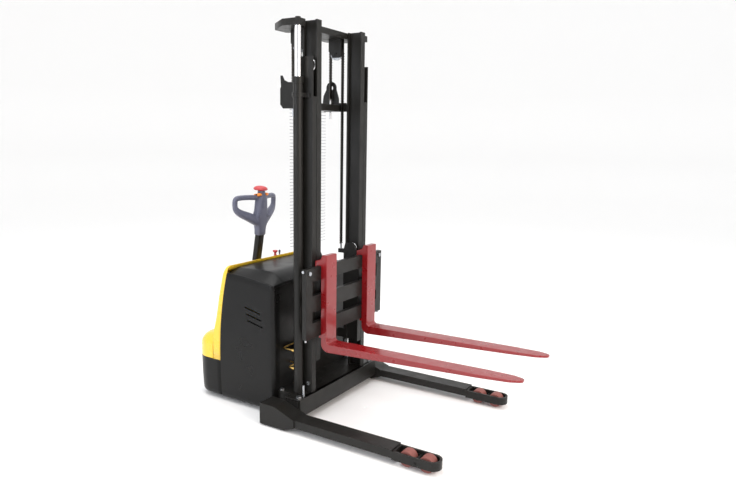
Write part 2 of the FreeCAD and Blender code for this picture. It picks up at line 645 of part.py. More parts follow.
# ---- chassis ----------------------------------------------------------------------------------
def build_chassis():
    beam = box(beam_back, beam_front, -beam_half, beam_half, beam_z, mast_foot_z)
    tube = box(beam_back + beam_wall, beam_front - beam_wall, -beam_half - 1, beam_half + 1,
               beam_z + beam_wall, mast_foot_z - beam_wall)
    beam = beam.cut(tube)
    for side in (1, -1):
        beam = beam.cut(cylinder_along_z(clamp_pin_radius + 0.1, clamp_pin_x, side * clamp_pin_y,
                                         beam_z - 1, mast_foot_z + 1))
    save("crossbeam", beam)
    pin = cylinder_along_z(clamp_pin_radius, clamp_pin_x, clamp_pin_y, beam_z - 16,
                           mast_foot_z + 70)
    save("clamp_pins", *pair(pin))

    half = body_half - 40
    back = chassis_back
    deck_z = mast_foot_z - sheet
    drive_back = steer_x - 95
    panels = [box(back, beam_back - 0.5, -half, half, sill_z, sill_z + sheet)]
    for side in (1, -1):
        y0 = half - sheet if side > 0 else -half
        panels.append(box(back, beam_back - 0.5, y0, y0 + sheet, sill_z, mast_foot_z))
    panels.append(box(panel_front - sheet, beam_back - 0.5, -half, half, deck_z, mast_foot_z))
    panels.append(box(back - sheet, back, -half + 70, half - 70, sill_z, turntable_z + 140))
    plate = box(drive_back, back, -half + 35, half - 35, turntable_z, turntable_z + sheet)
    plate = plate.cut(cylinder_along_z(neck_radius + running_gap, steer_x, 0, turntable_z - 1,
                                       turntable_z + sheet + 1))
    panels.append(plate)
    panels.append(box(panel_front - 12, panel_front - 6, -half, half, deck_z, panel_top_front - 3))
    save("chassis_frame", fused(panels))

    # bolts: chain studs and nuts, leg bracket bolts, deck bolts, cylinder foot bolts
    bolts = []
    for side in (1, -1):
        y = side * sheave_y
        bolts.append(cylinder_along_z(stud_radius, strand_rear_x, y, crossmember_low - stud_below,
                                      rear_strand_end))
        bolts.append(bolt(mast_front - 15, side * (beam_half - 27), mast_foot_z, 9, 12,
                          Vector(0, 0, 1)))
        bolts.append(bolt(panel_front + 19, side * (half - 15), mast_foot_z, 8, 10,
                          Vector(0, 0, 1)))
        bolts.append(bolt(cylinder_x, side * cylinder_y, mast_foot_z, 6, 2, Vector(0, 0, 1)))
        bolts.append(bolt(mast_front - 25, side * outer_rail_out, mast_foot_z + 55, 7, 7,
                          Vector(0, side, 0)))
    save("frame_bolts", *bolts)

    # batteries in two rows, with the pump unit, tank and controller on a shelf above them
    gap = 8.0
    room = panel_front - back
    battery_x = (room - 4 * gap) / 2
    battery_y = half - sheet - 35
    battery_top = sill_z + sheet + 230
    cells = []
    for row in range(2):
        x0 = back + 1.5 * gap + row * (battery_x + gap)
        cells += pair(box(x0, x0 + battery_x, 6, 6 + battery_y, sill_z + sheet, battery_top))
    save("batteries", *cells)
    shelf_z = battery_top + 20
    pump_x = back + 0.7 * room
    motor_radius = 0.155 * room
    pump_half = 0.135 * room
    motor = cylinder_along_z(motor_radius, pump_x, -120, shelf_z + 100, shelf_z + 300)
    pump = box(pump_x - pump_half, pump_x + pump_half, -120 - pump_half, -120 + pump_half, shelf_z,
               shelf_z + 100)
    save("pump_unit", fused([motor, pump]))
    tank = box(pump_x - 0.215 * room, pump_x + 0.19 * room, 0, 260, shelf_z, shelf_z + 210)
    tank = rounded(tank, 14, upright)
    save("oil_tank", tank)
    case_x0, case_x1 = back + 0.06 * room, back + 0.38 * room
    case_y0 = -150.0
    controller = box(case_x0, case_x1, case_y0, case_y0 + 200, shelf_z, shelf_z + 80)
    fins = [box(case_x0, case_x1, case_y0 + 24 * k, case_y0 + 24 * k + 8, shelf_z + 79,
                shelf_z + 110) for k in range(8)]
    save("motor_controller", fused([controller] + fins))

    # brass pipes: a feed from the bulkhead to the right cylinder, and a link to the left one that
    # passes behind the moving lower tie
    port_x = cylinder_x - barrel_radius - 0.3
    feed_x, link_x = rail_back - 50, rail_back - 92.5
    feed_z, link_z = 290.0, 400.0
    feed_in = inner_rail_in + 35
    feed = [Vector(panel_front - 5, -feed_in, feed_z), Vector(feed_x, -feed_in, feed_z),
            Vector(feed_x, -cylinder_y, feed_z), Vector(port_x, -cylinder_y, feed_z)]
    link = [Vector(port_x, -cylinder_y, link_z), Vector(link_x, -cylinder_y, link_z),
            Vector(link_x, cylinder_y, link_z), Vector(port_x, cylinder_y, link_z)]
    pipes = [pipe(feed, 5.0, 18.0), pipe(link, 5.0, 18.0)]
    for side, z in ((-1, feed_z), (-1, link_z), (1, link_z)):
        nut = Part.makeCylinder(10, 16, Vector(port_x - 16, side * cylinder_y, z), Vector(1, 0, 0))
        owner = 0 if z == feed_z else 1
        pipes[owner] = fused([pipes[owner], nut])
    save("hydraulic_pipes", *pipes)


def pipe(corners, radius, bend):
    """A round bar along a line of corner points, each corner bent to a radius (right angles)."""
    edges = []
    last = corners[0]
    for before, corner, after in zip(corners, corners[1:], corners[2:]):
        into = (corner - before).normalize()
        out = (after - corner).normalize()
        a, b = corner - into * bend, corner + out * bend
        centre = a + out * bend
        middle = centre + (corner - centre).normalize() * bend
        edges += [Part.makeLine(last, a), Part.Arc(a, middle, b).toShape()]
        last = b
    edges.append(Part.makeLine(last, corners[-1]))
    ring = Part.Wire([Part.makeCircle(radius, corners[0], (corners[1] - corners[0]).normalize())])
    return Part.Wire(edges).makePipeShell([ring], True, False)


def plan_outline(inset, corner):
    """The covers' outline in plan: straight sides and a rear wall with round corners."""
    half, back = body_half - inset, body_back + inset
    radius = corner - inset
    steps = 8
    arc = [(back + radius - radius * math.sin(math.pi / 2 * k / steps),
            half - radius + radius * math.cos(math.pi / 2 * k / steps)) for k in range(steps + 1)]
    return ([(panel_front, half)] + arc + [(x, -y) for x, y in reversed(arc)]
            + [(panel_front, -half)])


def build_covers():
    solid_out = plan_prism(plan_outline(0, body_corner), 0, 1000)
    solid_in = plan_prism(plan_outline(shell, body_corner), -1, 1001)
    wall = solid_out.cut(solid_in)
    save("rear_skirt", wall.common(box(body_back - 1, skirt_x, -body_half - 1, body_half + 1,
                                      skirt_z, skirt_top)))

    # side panels, each with a rounded front edge turned in towards the mast
    outline = [(panel_front, skirt_z), (panel_front, panel_top_front),
               (panel_front - 120, panel_top_front + 17), (cowl_edge_x, panel_top_rear),
               (skirt_x + shell_gap, skirt_top + 60), (skirt_x + shell_gap, skirt_z)]
    plate = side_prism(outline, body_half - shell, body_half)
    lip = box(panel_front - shell, panel_front, body_half - 60, body_half - shell / 2, mast_foot_z + 4,
              panel_top_front)
    vents = []
    for k in range(3):
        x, z = panel_front - 204 - 4 * k, 640 - 42 * k
        vents.append(side_prism([(x, z), (x + 120, z - 42), (x + 122, z - 52), (x + 2, z - 10)],
                                body_half - shell - 1, body_half + 1))
    panel = fused([plate, lip])
    for vent in vents:
        panel = panel.cut(vent)
    save("side_panel_left", panel)
    save("side_panel_right", mirrored(panel))

    # yellow rear cowl: one bent shell from the skirt to the top rim
    def hood(inset, radius):
        rim = cowl_top - inset
        shape = side_prism([(hood_back_low + inset, skirt_top), (hood_back_low + inset, 480),
                            (hood_back_high - 28 + inset, 800),
                            (hood_back_high + 30 + inset, rim), (cowl_edge_x + 200, rim),
                            (cowl_edge_x + 200, skirt_top)], -body_half + inset, body_half - inset)
        back = hood_back_low + inset
        half = body_half - inset
        for side in (1, -1):
            nook = box(back - 1, back + radius, *sorted((side * (half - radius), side * (half + 1))),
                       0, 1000)
            nook = nook.cut(cylinder_along_z(radius, back + radius, side * (half - radius), 0, 1000))
            shape = shape.cut(nook)
        return shape
    cowl = hood(0, 50).cut(hood(shell, 46))
    edge = [(cowl_edge_x - shell_gap, 1000), (cowl_edge_x - shell_gap, panel_top_rear),
            (skirt_x, skirt_top + 60), (skirt_x, skirt_top), (body_back, skirt_top),
            (body_back, 1000)]
    cowl = cowl.common(side_prism(edge, -body_half - 1, body_half + 1))
    opening = box(hood_back_low - 1, hood_back_low + 60, -body_half + 55, body_half - 55,
                  skirt_top - 1, hump_top - 14)
    save("rear_cowl", cowl.cut(opening))

    # hump over the drive unit, with a round opening for the tiller's column
    hump_side = [(hood_back_low - shell_gap, skirt_top + shell_gap), (body_back, skirt_top + shell_gap),
                 (body_back, 345), (body_back + 14, 378), (body_back + 46, 402),
                 (hood_back_low - shell_gap, hump_top)]
    hump_in = [(hood_back_low + 5, skirt_top - 1), (body_back + shell, skirt_top - 1),
               (body_back + shell, 345), (body_back + 14 + shell, 375), (body_back + 48, 398),
               (hood_back_low + 5, hump_top - shell)]
    hump = side_prism(hump_side, -body_half, body_half).common(solid_out)
    hollow = side_prism(hump_in, -body_half + shell, body_half - shell).common(solid_in)
    hump = hump.cut(hollow).cut(cylinder_along_z(48, steer_x, 0, 380, 500))
    save("drive_cover", hump)

    # top cover: a flat lid with sloping edges, resting between the panels and the cowl's rim
    crown = [(panel_front + 2, panel_top_front + 4), (panel_front - 36, cover_top - 8),
             (panel_front - 70, cover_top), (cowl_edge_x + 2, cover_top)]
    under = [(cowl_edge_x + 2, cover_top - shell), (panel_front - 69, cover_top - shell),
             (panel_front - 34, cover_top - 8 - shell), (panel_front - 2, panel_top_front + 4)]
    lid_half = body_half - 90
    lid = side_prism(crown + under, -lid_half, lid_half)
    slopes = []
    for side in (1, -1):
        edge_y = side * (body_half - shell - 0.5)
        ring = [(side * lid_half, cover_top), (edge_y, panel_top_rear + 3),
                (edge_y, panel_top_rear + 3 - shell), (side * lid_half, cover_top - shell)]
        points = [Vector(cowl_edge_x + 2, y, z) for y, z in ring]
        far = [Vector(panel_front - 60, y, z - (8 if abs(y) < abs(edge_y) else 26)) for y, z in ring]
        near = Part.makePolygon(points + points[:1])
        end = Part.makePolygon(far + far[:1])
        slopes.append(Part.makeLoft([near, end], True, True))
    save("top_cover", fused([lid] + slopes))


# ---- drive unit, tiller and caster ------------------------------------------------------------
def build_drive():
    wheel_z = drive_wheel_radius
    half = drive_wheel_width / 2
    tyre = cylinder_along_y(drive_wheel_radius, steer_x, wheel_z, -half, half)
    tyre = tyre.cut(cylinder_along_y(drive_axle_radius + running_gap, steer_x, wheel_z,
                                     -half - 1, half + 1))
    save("drive_wheel", tyre)
    # gearbox: a cheek beside the wheel, its top under the frame plate, and the turntable ring
    bridge_z, bridge_top = 226.0, 262.0
    cheek = rounded(box(steer_x - 60, steer_x + 60, half + 8, half + 50, wheel_z - 50, bridge_top),
                    20, lambda e: along_y(e) and e.Length < 50)
    axle = cylinder_along_y(drive_axle_radius, steer_x, wheel_z, -half - 6, half + 9)
    bridge = box(steer_x - 60, steer_x + 60, -half - 20, half + 50, bridge_z, bridge_top)
    ring = cylinder_along_z(104, steer_x, 0, bridge_top, turntable_z - 1)
    neck = cylinder_along_z(neck_radius, steer_x, 0, turntable_z - 2, turntable_z + 22)
    motor_top = 392.0
    motor = cylinder_along_z(neck_radius - 4, steer_x, 0, turntable_z + 22, motor_top)
    save("drive_unit", fused([cheek, axle, bridge, ring, neck]), motor)
    yoke_low = tiller_pivot_z - 62
    base = rounded(box(steer_x - 34, steer_x + 34, -38, 38, yoke_low, yoke_low + 24), 8, upright)
    ears = []
    for side in (1, -1):
        y0, y1 = sorted((side * 26, side * 38))
        ear = box(steer_x - 22, steer_x + 22, y0, y1, yoke_low + 20, tiller_pivot_z)
        ears += [ear, cylinder_along_y(22, steer_x, tiller_pivot_z, y0, y1)]
    pin = cylinder_along_y(tiller_pin_radius, steer_x, tiller_pivot_z, -42, 42)
    lower = cylinder_along_z(30, steer_x, 0, motor_top, yoke_low + 1)
    save("tiller_column", fused([base, lower, pin] + ears))


def tiller_point(distance):
    """A place on the leaning arm's line, at a distance along it from the pivot."""
    lean = math.radians(tiller_lean)
    return Vector(steer_x + distance * math.sin(lean), 0,
                  tiller_pivot_z + distance * math.cos(lean))


def along_tiller(shape):
    """Moves a shape made upright at the origin onto the tiller's line."""
    shape.rotate(Vector(0, 0, 0), Vector(0, 1, 0), tiller_lean)
    shape.translate(Vector(steer_x, 0, tiller_pivot_z))
    return shape


def on_head(shape):
    """Moves a shape made upright at the origin to the top of the tiller's arm."""
    shape.rotate(Vector(0, 0, 0), Vector(0, 1, 0), head_lean)
    shape.translate(tiller_point(tiller_length))
    return shape


def across(edge):
    """True for an edge that runs mostly along X or Y."""
    a, b = edge.Vertexes[0].Point, edge.Vertexes[-1].Point
    return abs(a.z - b.z) < 1e-6


def grip_loop(side):
    """One swept-back loop of the head, upright at the origin."""
    outer = box(-15, 15, *sorted((side * 40, side * grip_reach)), grip_low, grip_high)
    outer = rounded(outer, 28, lambda e: across(e) and abs(e.Vertexes[0].Point.x
                    - e.Vertexes[-1].Point.x) > 20 and abs(e.Vertexes[0].Point.y) > 100)
    inner = box(-20, 20, *sorted((side * 50, side * (grip_reach - grip_bar))),
                grip_low + grip_bar, grip_high - grip_bar)
    loop = outer.cut(inner)
    loop.rotate(Vector(0, side * 30, 0), Vector(0, 0, 1), side * grip_sweep)
    return loop


def build_tiller():
    hub = cylinder_along_y(22, 0, 0, -24, 24)
    foot = rounded(box(-17, 17, -22, 22, 0, 70), 8, upright)
    arm = rounded(box(-21, 21, -26, 26, 60, tiller_length), 9, upright)
    pin_hole = cylinder_along_y(tiller_pin_radius + running_gap, 0, 0, -30, 30)
    arm = along_tiller(fused([hub, foot, arm]).cut(pin_hole))
    save("tiller_arm", arm)

    # head: a collar over the arm's end, a body, and one loop grip on each side
    collar = rounded(box(-26, 26, -34, 34, -30, 80), 12, upright)
    body = rounded(box(-26, 26, -44, 44, 75, head_top), 14, upright)
    head = fused([collar, body, grip_loop(1), grip_loop(-1)])
    room = 21.0                  # above and below the throttle's axis, for its wings' swing
    pocket = box(-32, 32, -50, 50, throttle_z - room, throttle_z + room)
    core = box(-19, 19, -18, 18, throttle_z - room - 5, throttle_z + room + 5)
    head = fused([head.cut(pocket), core])
    head = head.cut(cylinder_along_y(throttle_radius + 0.5, 0, throttle_z, -60, 60))
    button_radius = 14.0
    head = head.cut(cylinder_along_z(button_radius + 1, 0, 0, head_top - 14, head_top + 1))
    save("tiller_head", on_head(head).cut(arm))
    wings = [cylinder_along_y(throttle_radius, 0, throttle_z, -48, 48)]
    for side in (1, -1):
        wing = box(-24, 24, *sorted((side * 20, side * 48)), throttle_z - 8, throttle_z + 8)
        wings.append(rounded(wing, 5, along_y))
    save("throttle", on_head(fused(wings)))
    cap = cylinder_along_z(22, 0, 0, head_top + 8, head_top + 26)
    stem = cylinder_along_z(button_radius, 0, 0, head_top - 5, head_top + 9)
    save("belly_button", on_head(fused([cap, stem])))


def build_caster():
    for name, side in (("left", 1), ("right", -1)):
        y = side * caster_y
        x = caster_x
        wheel_x = x - caster_trail
        half = caster_wheel_width / 2
        plate = cylinder_along_z(38, x, y, 116, 124)
        stem = cylinder_along_z(14, x, y, 120, turntable_z)
        crown = box(x - 40, x + 24, y - half - 8, y + half + 8, 108, 117)
        cheeks = []
        for away in (1, -1):
            y0, y1 = sorted((y + away * (half + 2), y + away * (half + 8)))
            cheeks.append(side_prism([(x - 24, 110), (x + 22, 110), (wheel_x + 14, 38),
                                      (wheel_x - 14, 38), (wheel_x - 14, 80)], y0, y1))
        axle = cylinder_along_y(caster_axle_radius, wheel_x, caster_wheel_radius, y - half - 8,
                                y + half + 8)
        save("caster_fork_" + name, fused([plate, stem, crown, axle] + cheeks))
        tyre = cylinder_along_y(caster_wheel_radius, wheel_x, caster_wheel_radius, y - half,
                                y + half)
        tyre = tyre.cut(cylinder_along_y(caster_axle_radius + running_gap, wheel_x,
                                         caster_wheel_radius, y - half - 1, y + half + 1))
        save("caster_wheel_" + name, tyre)


def build_switches():
    """Emergency disconnect knob and key on the cowl's top rim."""
    rim_x = hood_back_high + 62
    knob_y, key_y = 60.0, 105.0
    cap = cylinder_along_z(17, rim_x, knob_y, cowl_top + 20, cowl_top + 36)
    stem = cylinder_along_z(8, rim_x, knob_y, cowl_top + 0.5, cowl_top + 22)
    save("disconnect_knob", fused([cap, stem]))
    bow = rounded(box(rim_x - 3, rim_x + 3, key_y - 10, key_y + 10, cowl_top + 10, cowl_top + 32),
                  6, lambda e: abs(e.Vertexes[0].Point.x - e.Vertexes[-1].Point.x) > 5)
    blade = cylinder_along_z(5, rim_x, key_y, cowl_top + 0.5, cowl_top + 12)
    save("key", fused([bow, blade]))


os.makedirs("parts", exist_ok=True)
build_mast()
build_cylinders()
build_inner_mast()
build_carriage()
build_forks()
build_legs()
build_chassis()
build_covers()
build_drive()
build_tiller()
build_caster()
build_switches()
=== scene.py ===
import json
import math

import bmesh
import bpy
from bpy.props import FloatProperty, FloatVectorProperty, IntProperty, PointerProperty
from mathutils import Matrix, Vector


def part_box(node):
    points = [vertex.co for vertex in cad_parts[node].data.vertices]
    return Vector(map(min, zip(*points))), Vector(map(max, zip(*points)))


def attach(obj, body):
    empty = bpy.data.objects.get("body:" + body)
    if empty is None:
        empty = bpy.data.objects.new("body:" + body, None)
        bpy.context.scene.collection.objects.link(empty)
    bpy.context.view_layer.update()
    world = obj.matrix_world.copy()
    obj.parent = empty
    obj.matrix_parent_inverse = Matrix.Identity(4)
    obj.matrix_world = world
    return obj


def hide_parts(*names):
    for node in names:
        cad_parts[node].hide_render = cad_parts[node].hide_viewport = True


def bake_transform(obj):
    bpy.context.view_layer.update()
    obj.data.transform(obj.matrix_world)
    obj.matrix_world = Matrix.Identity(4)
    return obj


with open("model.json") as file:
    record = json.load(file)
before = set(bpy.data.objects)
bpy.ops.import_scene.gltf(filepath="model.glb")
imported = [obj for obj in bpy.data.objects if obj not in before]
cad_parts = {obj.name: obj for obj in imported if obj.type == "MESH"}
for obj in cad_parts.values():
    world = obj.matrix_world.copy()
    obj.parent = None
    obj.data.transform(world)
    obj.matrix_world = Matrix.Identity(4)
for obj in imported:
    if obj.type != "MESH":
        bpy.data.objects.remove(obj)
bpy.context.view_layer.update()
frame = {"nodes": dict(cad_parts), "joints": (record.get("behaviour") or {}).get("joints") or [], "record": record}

bl_info = {
    "name": "Walkie stacker",
    "version": (1, 0, 0),
    "blender": (4, 5, 0),
    "location": "3D View > Sidebar > Stacker",
    "description": "Covers, wheels, chains, tiller and finishes of a walk-behind straddle stacker",
    "category": "Add Mesh",
}

JOINTS = {joint["name"]: joint for joint in frame["joints"]}
MM = 0.001
CHAIN_WIDTH = 20 * MM
SHEAVE_RADIUS = 45 * MM      # to the chain's middle line
COLUMN_HOLE = 48 * MM        # radius of the tiller column's opening in the drive cover
THROTTLE_UP = 258 * MM       # the throttle's axis above the head's base
STUB_BORE = 11.05 * MM       # bores, each a little wider than its axle
SHEAVE_BORE = 9.05 * MM
LOAD_WHEEL_BORE = 8.05 * MM
DRIVE_WHEEL_BORE = 16.05 * MM
CASTER_BORE = 8.05 * MM
TILLER_BORE = 9.05 * MM


# ---- colours and sizes that a user would change -------------------------------------------------
def linear(code):
    """An sRGB hex colour as linear values with full alpha."""
    channels = [int(code[k:k + 2], 16) / 255 for k in (1, 3, 5)]
    return tuple(c / 12.92 if c <= 0.04045 else ((c + 0.055) / 1.055) ** 2.4
                 for c in channels) + (1.0,)


def colour(name, description, code):
    return FloatVectorProperty(name=name, description=description, size=4, subtype="COLOR",
                               min=0.0, max=1.0, default=linear(code))


def length(name, description, millimetres):
    return FloatProperty(name=name, description=description, default=millimetres * MM,
                         min=0.0, unit="LENGTH", subtype="DISTANCE")


class StackerColours(bpy.types.PropertyGroup):
    powder_black: colour("Powder coat", "Mast, carriage, legs and chassis", "#1A1917")
    cover_black: colour("Black covers", "Side panels, skirt and top cover", "#0F0F0F")
    cowl_yellow: colour("Yellow covers", "Rear cowl and drive cover", "#EFC63A")
    fork_red: colour("Fork enamel", "Both forks", "#840A11")
    tread: colour("Load wheel tread", "Cast polyurethane", "#84504A")
    head_grey: colour("Tiller head", "Textured nylon", "#5C5E70")
    throttle_orange: colour("Throttle", "Butterfly throttle", "#F28A22")
    button_red: colour("Red buttons", "Belly button and disconnect knob", "#BE4448")
    floor: colour("Floor", "Studio floor and backdrop", "#FBFBFB")


class StackerSizes(bpy.types.PropertyGroup):
    plate_edge: length("Plate edge", "Rounding on the edges of welded plates", 1.6)
    casting_edge: length("Heavy edge", "Rounding on the legs, crossbeam and forks", 3.0)
    cover_wall: length("Cover wall", "Thickness of the moulded covers", 4.0)
    cover_corner: length("Rear corner", "Corner radius of the covers in plan", 120.0)
    chain_pitch: length("Chain pitch", "Distance between the chain's pins", 15.875)
    guard_pitch: length("Guard pitch", "Distance between the guard's wires", 19.0)
    guard_wire: length("Guard wire", "Diameter of the guard's wires", 3.4)
    round_steps: IntProperty(name="Round steps", description="Sides of the turned pieces",
                             default=48, min=12, max=128)


# ---- shader building ----------------------------------------------------------------------------
def add_node(tree, kind, settings, inputs):
    """Adds a shader node with its settings, and fills or links its inputs."""
    node = tree.nodes.new(kind)
    for name, value in settings.items():
        setattr(node, name, value)
    for name, value in inputs.items():
        if isinstance(value, bpy.types.NodeSocket):
            tree.links.new(value, node.inputs[name])
        else:
            node.inputs[name].default_value = value
    return node


def finish_material(name, base, settings, grain, mottle, spread=0.08):
    """A material whose surface has a fine grain and a large, faint mottle.

    grain is (size in mm, height in mm), mottle is (size in mm, share of lightening) and spread
    is how far the roughness wanders to each side.
    """
    material = bpy.data.materials.new(name)
    material.use_nodes = True
    tree = material.node_tree
    shader = tree.nodes["Principled BSDF"]
    for socket, value in settings.items():
        shader.inputs[socket].default_value = value
    where = add_node(tree, "ShaderNodeTexCoord", {}, {}).outputs["Object"]
    cloud = add_node(tree, "ShaderNodeTexNoise", {},
                     {"Vector": where, "Scale": 1000 / mottle[0], "Detail": 4.0, "Roughness": 0.6})
    light = tuple(min(1.0, c * (1 + mottle[1]) + 0.012 * mottle[1]) for c in base[:3]) + (1.0,)
    dark = tuple(c * (1 - mottle[1]) for c in base[:3]) + (1.0,)
    tint = add_node(tree, "ShaderNodeMix", {"data_type": "RGBA"}, {"Factor": cloud.outputs["Fac"]})
    tint.inputs[6].default_value = dark
    tint.inputs[7].default_value = light
    tree.links.new(tint.outputs[2], shader.inputs["Base Color"])
    rough = settings["Roughness"]
    spot = add_node(tree, "ShaderNodeTexNoise", {},
                    {"Vector": where, "Scale": 2600 / mottle[0], "Detail": 3.0})
    level = add_node(tree, "ShaderNodeMapRange", {},
                     {"Value": spot.outputs["Fac"], "From Min": 0.3, "From Max": 0.7,
                      "To Min": max(0.02, rough - spread), "To Max": min(1.0, rough + spread)})
    tree.links.new(level.outputs["Result"], shader.inputs["Roughness"])
    speck = add_node(tree, "ShaderNodeTexNoise", {},
                     {"Vector": where, "Scale": 1000 / grain[0], "Detail": 2.0})
    relief = add_node(tree, "ShaderNodeBump", {},
                      {"Height": speck.outputs["Fac"], "Strength": 1.0, "Distance": grain[1] * MM})
    tree.links.new(relief.outputs["Normal"], shader.inputs["Normal"])
    return material


def make_finishes():
    """All the stacker's finishes, by the record's slot names."""
    tone = bpy.context.scene.stacker_colours
    plastic = {"IOR": 1.46, "Metallic": 0.0}
    metal = {"Metallic": 1.0}
    return {
        # polyester powder coat on steel: satin black with the faint orange peel of a sprayed
        # powder; the peel is drawn at 6 mm instead of 2 mm so that it shows
        "frame_black": finish_material("polyester_powder_coat", tone.powder_black,
                                       {"Roughness": 0.38, "IOR": 1.5, "Metallic": 0.0,
                                        "Specular IOR Level": 0.25},
                                       (6.0, 0.05), (220.0, 0.30)),
        # moulded black ABS: smoother than the coat, with a soft broad highlight
        "cover_black": finish_material("moulded_black_abs", tone.cover_black,
                                       {**plastic, "Roughness": 0.32, "Specular IOR Level": 0.22},
                                       (4.0, 0.02), (300.0, 0.25), 0.05),
        # moulded yellow ABS, gloss: a clear highlight and an even colour
        "cowl_yellow": finish_material("moulded_yellow_abs", tone.cowl_yellow,
                                       {**plastic, "Roughness": 0.28, "Coat Weight": 0.3,
                                        "Coat Roughness": 0.08}, (4.0, 0.02), (260.0, 0.05), 0.04),
        # baked enamel on forged forks: deep red, gloss over a slightly wavy forging
        "fork_red": finish_material("baked_red_enamel", tone.fork_red,
                                    {"Roughness": 0.32, "IOR": 1.5, "Metallic": 0.0,
                                     "Coat Weight": 0.4, "Coat Roughness": 0.10},
                                    (14.0, 0.06), (160.0, 0.14)),
        # hard chrome, ground and polished: bright, with only a breath of roughness
        "chrome": finish_material("hard_chrome", linear("#DCDCDE"),
                                  {**metal, "Roughness": 0.14}, (9.0, 0.01), (90.0, 0.06), 0.04),
        # zinc-plated bolts: pale and slightly cloudy
        "zinc": finish_material("zinc_plate", linear("#B9BCC0"),
                                {**metal, "Roughness": 0.30}, (3.0, 0.03), (22.0, 0.15)),
        # yellow-chromated steel pipe: warm, dull gold with cloudy patches
        "brass": finish_material("yellow_chromate", linear("#D9B469"),
                                 {**metal, "Roughness": 0.30}, (5.0, 0.03), (25.0, 0.18)),
        # oiled leaf chain: dark steel with small bright glints
        "chain_steel": finish_material("oiled_chain_steel", linear("#5A5753"),
                                       {**metal, "Roughness": 0.38}, (2.0, 0.03), (12.0, 0.30)),
        # cast polyurethane tread: matt dusty red with faint scuffs
        "polyurethane": finish_material("cast_polyurethane", tone.tread,
                                        {"Roughness": 0.55, "IOR": 1.5, "Metallic": 0.0,
                                         "Specular IOR Level": 0.3}, (5.0, 0.10), (20.0, 0.14)),
        # black rubber tyre: matt with a little dust
        "tyre": finish_material("black_rubber", linear("#201F1E"),
                                {"Roughness": 0.75, "IOR": 1.52, "Metallic": 0.0},
                                (4.0, 0.15), (30.0, 0.25)),
        # glass-filled nylon with a spark-eroded texture: grey-blue, soft sheen
        "handle_grey": finish_material("textured_nylon", tone.head_grey,
                                       {**plastic, "Roughness": 0.42}, (2.5, 0.06), (60.0, 0.12)),
        # orange ABS: smooth and slightly glossy
        "throttle_orange": finish_material("moulded_orange_abs", tone.throttle_orange,
                                           {**plastic, "Roughness": 0.32}, (3.0, 0.03),
                                           (30.0, 0.07)),
        # red ABS: smooth and slightly glossy
        "button_red": finish_material("moulded_red_abs", tone.button_red,
                                      {**plastic, "Roughness": 0.34}, (3.0, 0.03), (30.0, 0.08)),
        # polypropylene battery cases and tank: dull dark grey
        "battery_case": finish_material("moulded_polypropylene", linear("#3B3B3E"),
                                        {"Roughness": 0.5, "IOR": 1.49, "Metallic": 0.0},
                                        (4.0, 0.05), (120.0, 0.12)),
        # die-cast aluminium: pale grey, slightly rough skin
        "cast_aluminium": finish_material("die_cast_aluminium", linear("#AEB0B2"),
                                          {**metal, "Roughness": 0.45}, (3.0, 0.08),
                                          (40.0, 0.12)),
        # painted grey iron casting: coarse sand-cast skin under dark paint
        "cast_iron": finish_material("painted_iron_casting", linear("#2E2F31"),
                                     {"Roughness": 0.48, "IOR": 1.5, "Metallic": 0.0},
                                     (7.0, 0.30), (70.0, 0.2)),
    }


# ---- mesh building ------------------------------------------------------------------------------
def piece_from(bm, name, slot, body, replaced=(), sharp=38.0, wall=0.0):
    """Turns a bmesh into a finished piece that rides on a body of the frame.

    wall gives an open surface a thickness towards its inside.
    """
    bmesh.ops.remove_doubles(bm, verts=bm.verts, dist=1e-6)
    bmesh.ops.recalc_face_normals(bm, faces=bm.faces)
    mesh = bpy.data.meshes.new(name)
    bm.to_mesh(mesh)
    bm.free()
    piece = bpy.data.objects.new(name, mesh)
    bpy.context.scene.collection.objects.link(piece)
    mesh.materials.append(FINISHES[slot])
    mesh.shade_smooth()
    mesh.set_sharp_from_angle(angle=math.radians(sharp))
    if wall:
        skin = piece.modifiers.new("wall", "SOLIDIFY")
        skin.thickness = wall
        skin.offset = -1.0
        skin.use_even_offset = True
    if body:
        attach(piece, body)
    if replaced:
        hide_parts(*replaced)
    return piece


def loft(bm, rings, closed=True, caps=True):
    """Joins rings of points with the same count by quads."""
    rows = [[bm.verts.new(p) for p in ring] for ring in rings]
    count = len(rows[0])
    span = count if closed else count - 1
    for low, high in zip(rows, rows[1:]):
        for k in range(span):
            bm.faces.new((low[k], low[(k + 1) % count], high[(k + 1) % count], high[k]))
    if caps:
        bm.faces.new(rows[0][::-1])
        bm.faces.new(rows[-1])
    return rows


def turned(bm, profile, centre, steps):
    """Turns a closed profile of (radius, place along Y) about an axis along Y."""
    rings = []
    for radius, along in profile + profile[:1]:
        rings.append([Vector((centre[0] + radius * math.cos(a), centre[1] + along,
                              centre[2] + radius * math.sin(a)))
                      for a in (2 * math.pi * k / steps for k in range(steps))])
    loft(bm, rings, caps=False)


def oval(centre, side, front, half_side, half_front, power, steps=28):
    """A superellipse of points about a centre: power 2 is an ellipse, 4 nearly a rectangle."""
    points = []
    for k in range(steps):
        a = 2 * math.pi * k / steps
        c, s = math.cos(a), math.sin(a)
        points.append(centre + side * half_side * math.copysign(abs(c) ** (2 / power), c)
                      + front * half_front * math.copysign(abs(s) ** (2 / power), s))
    return points


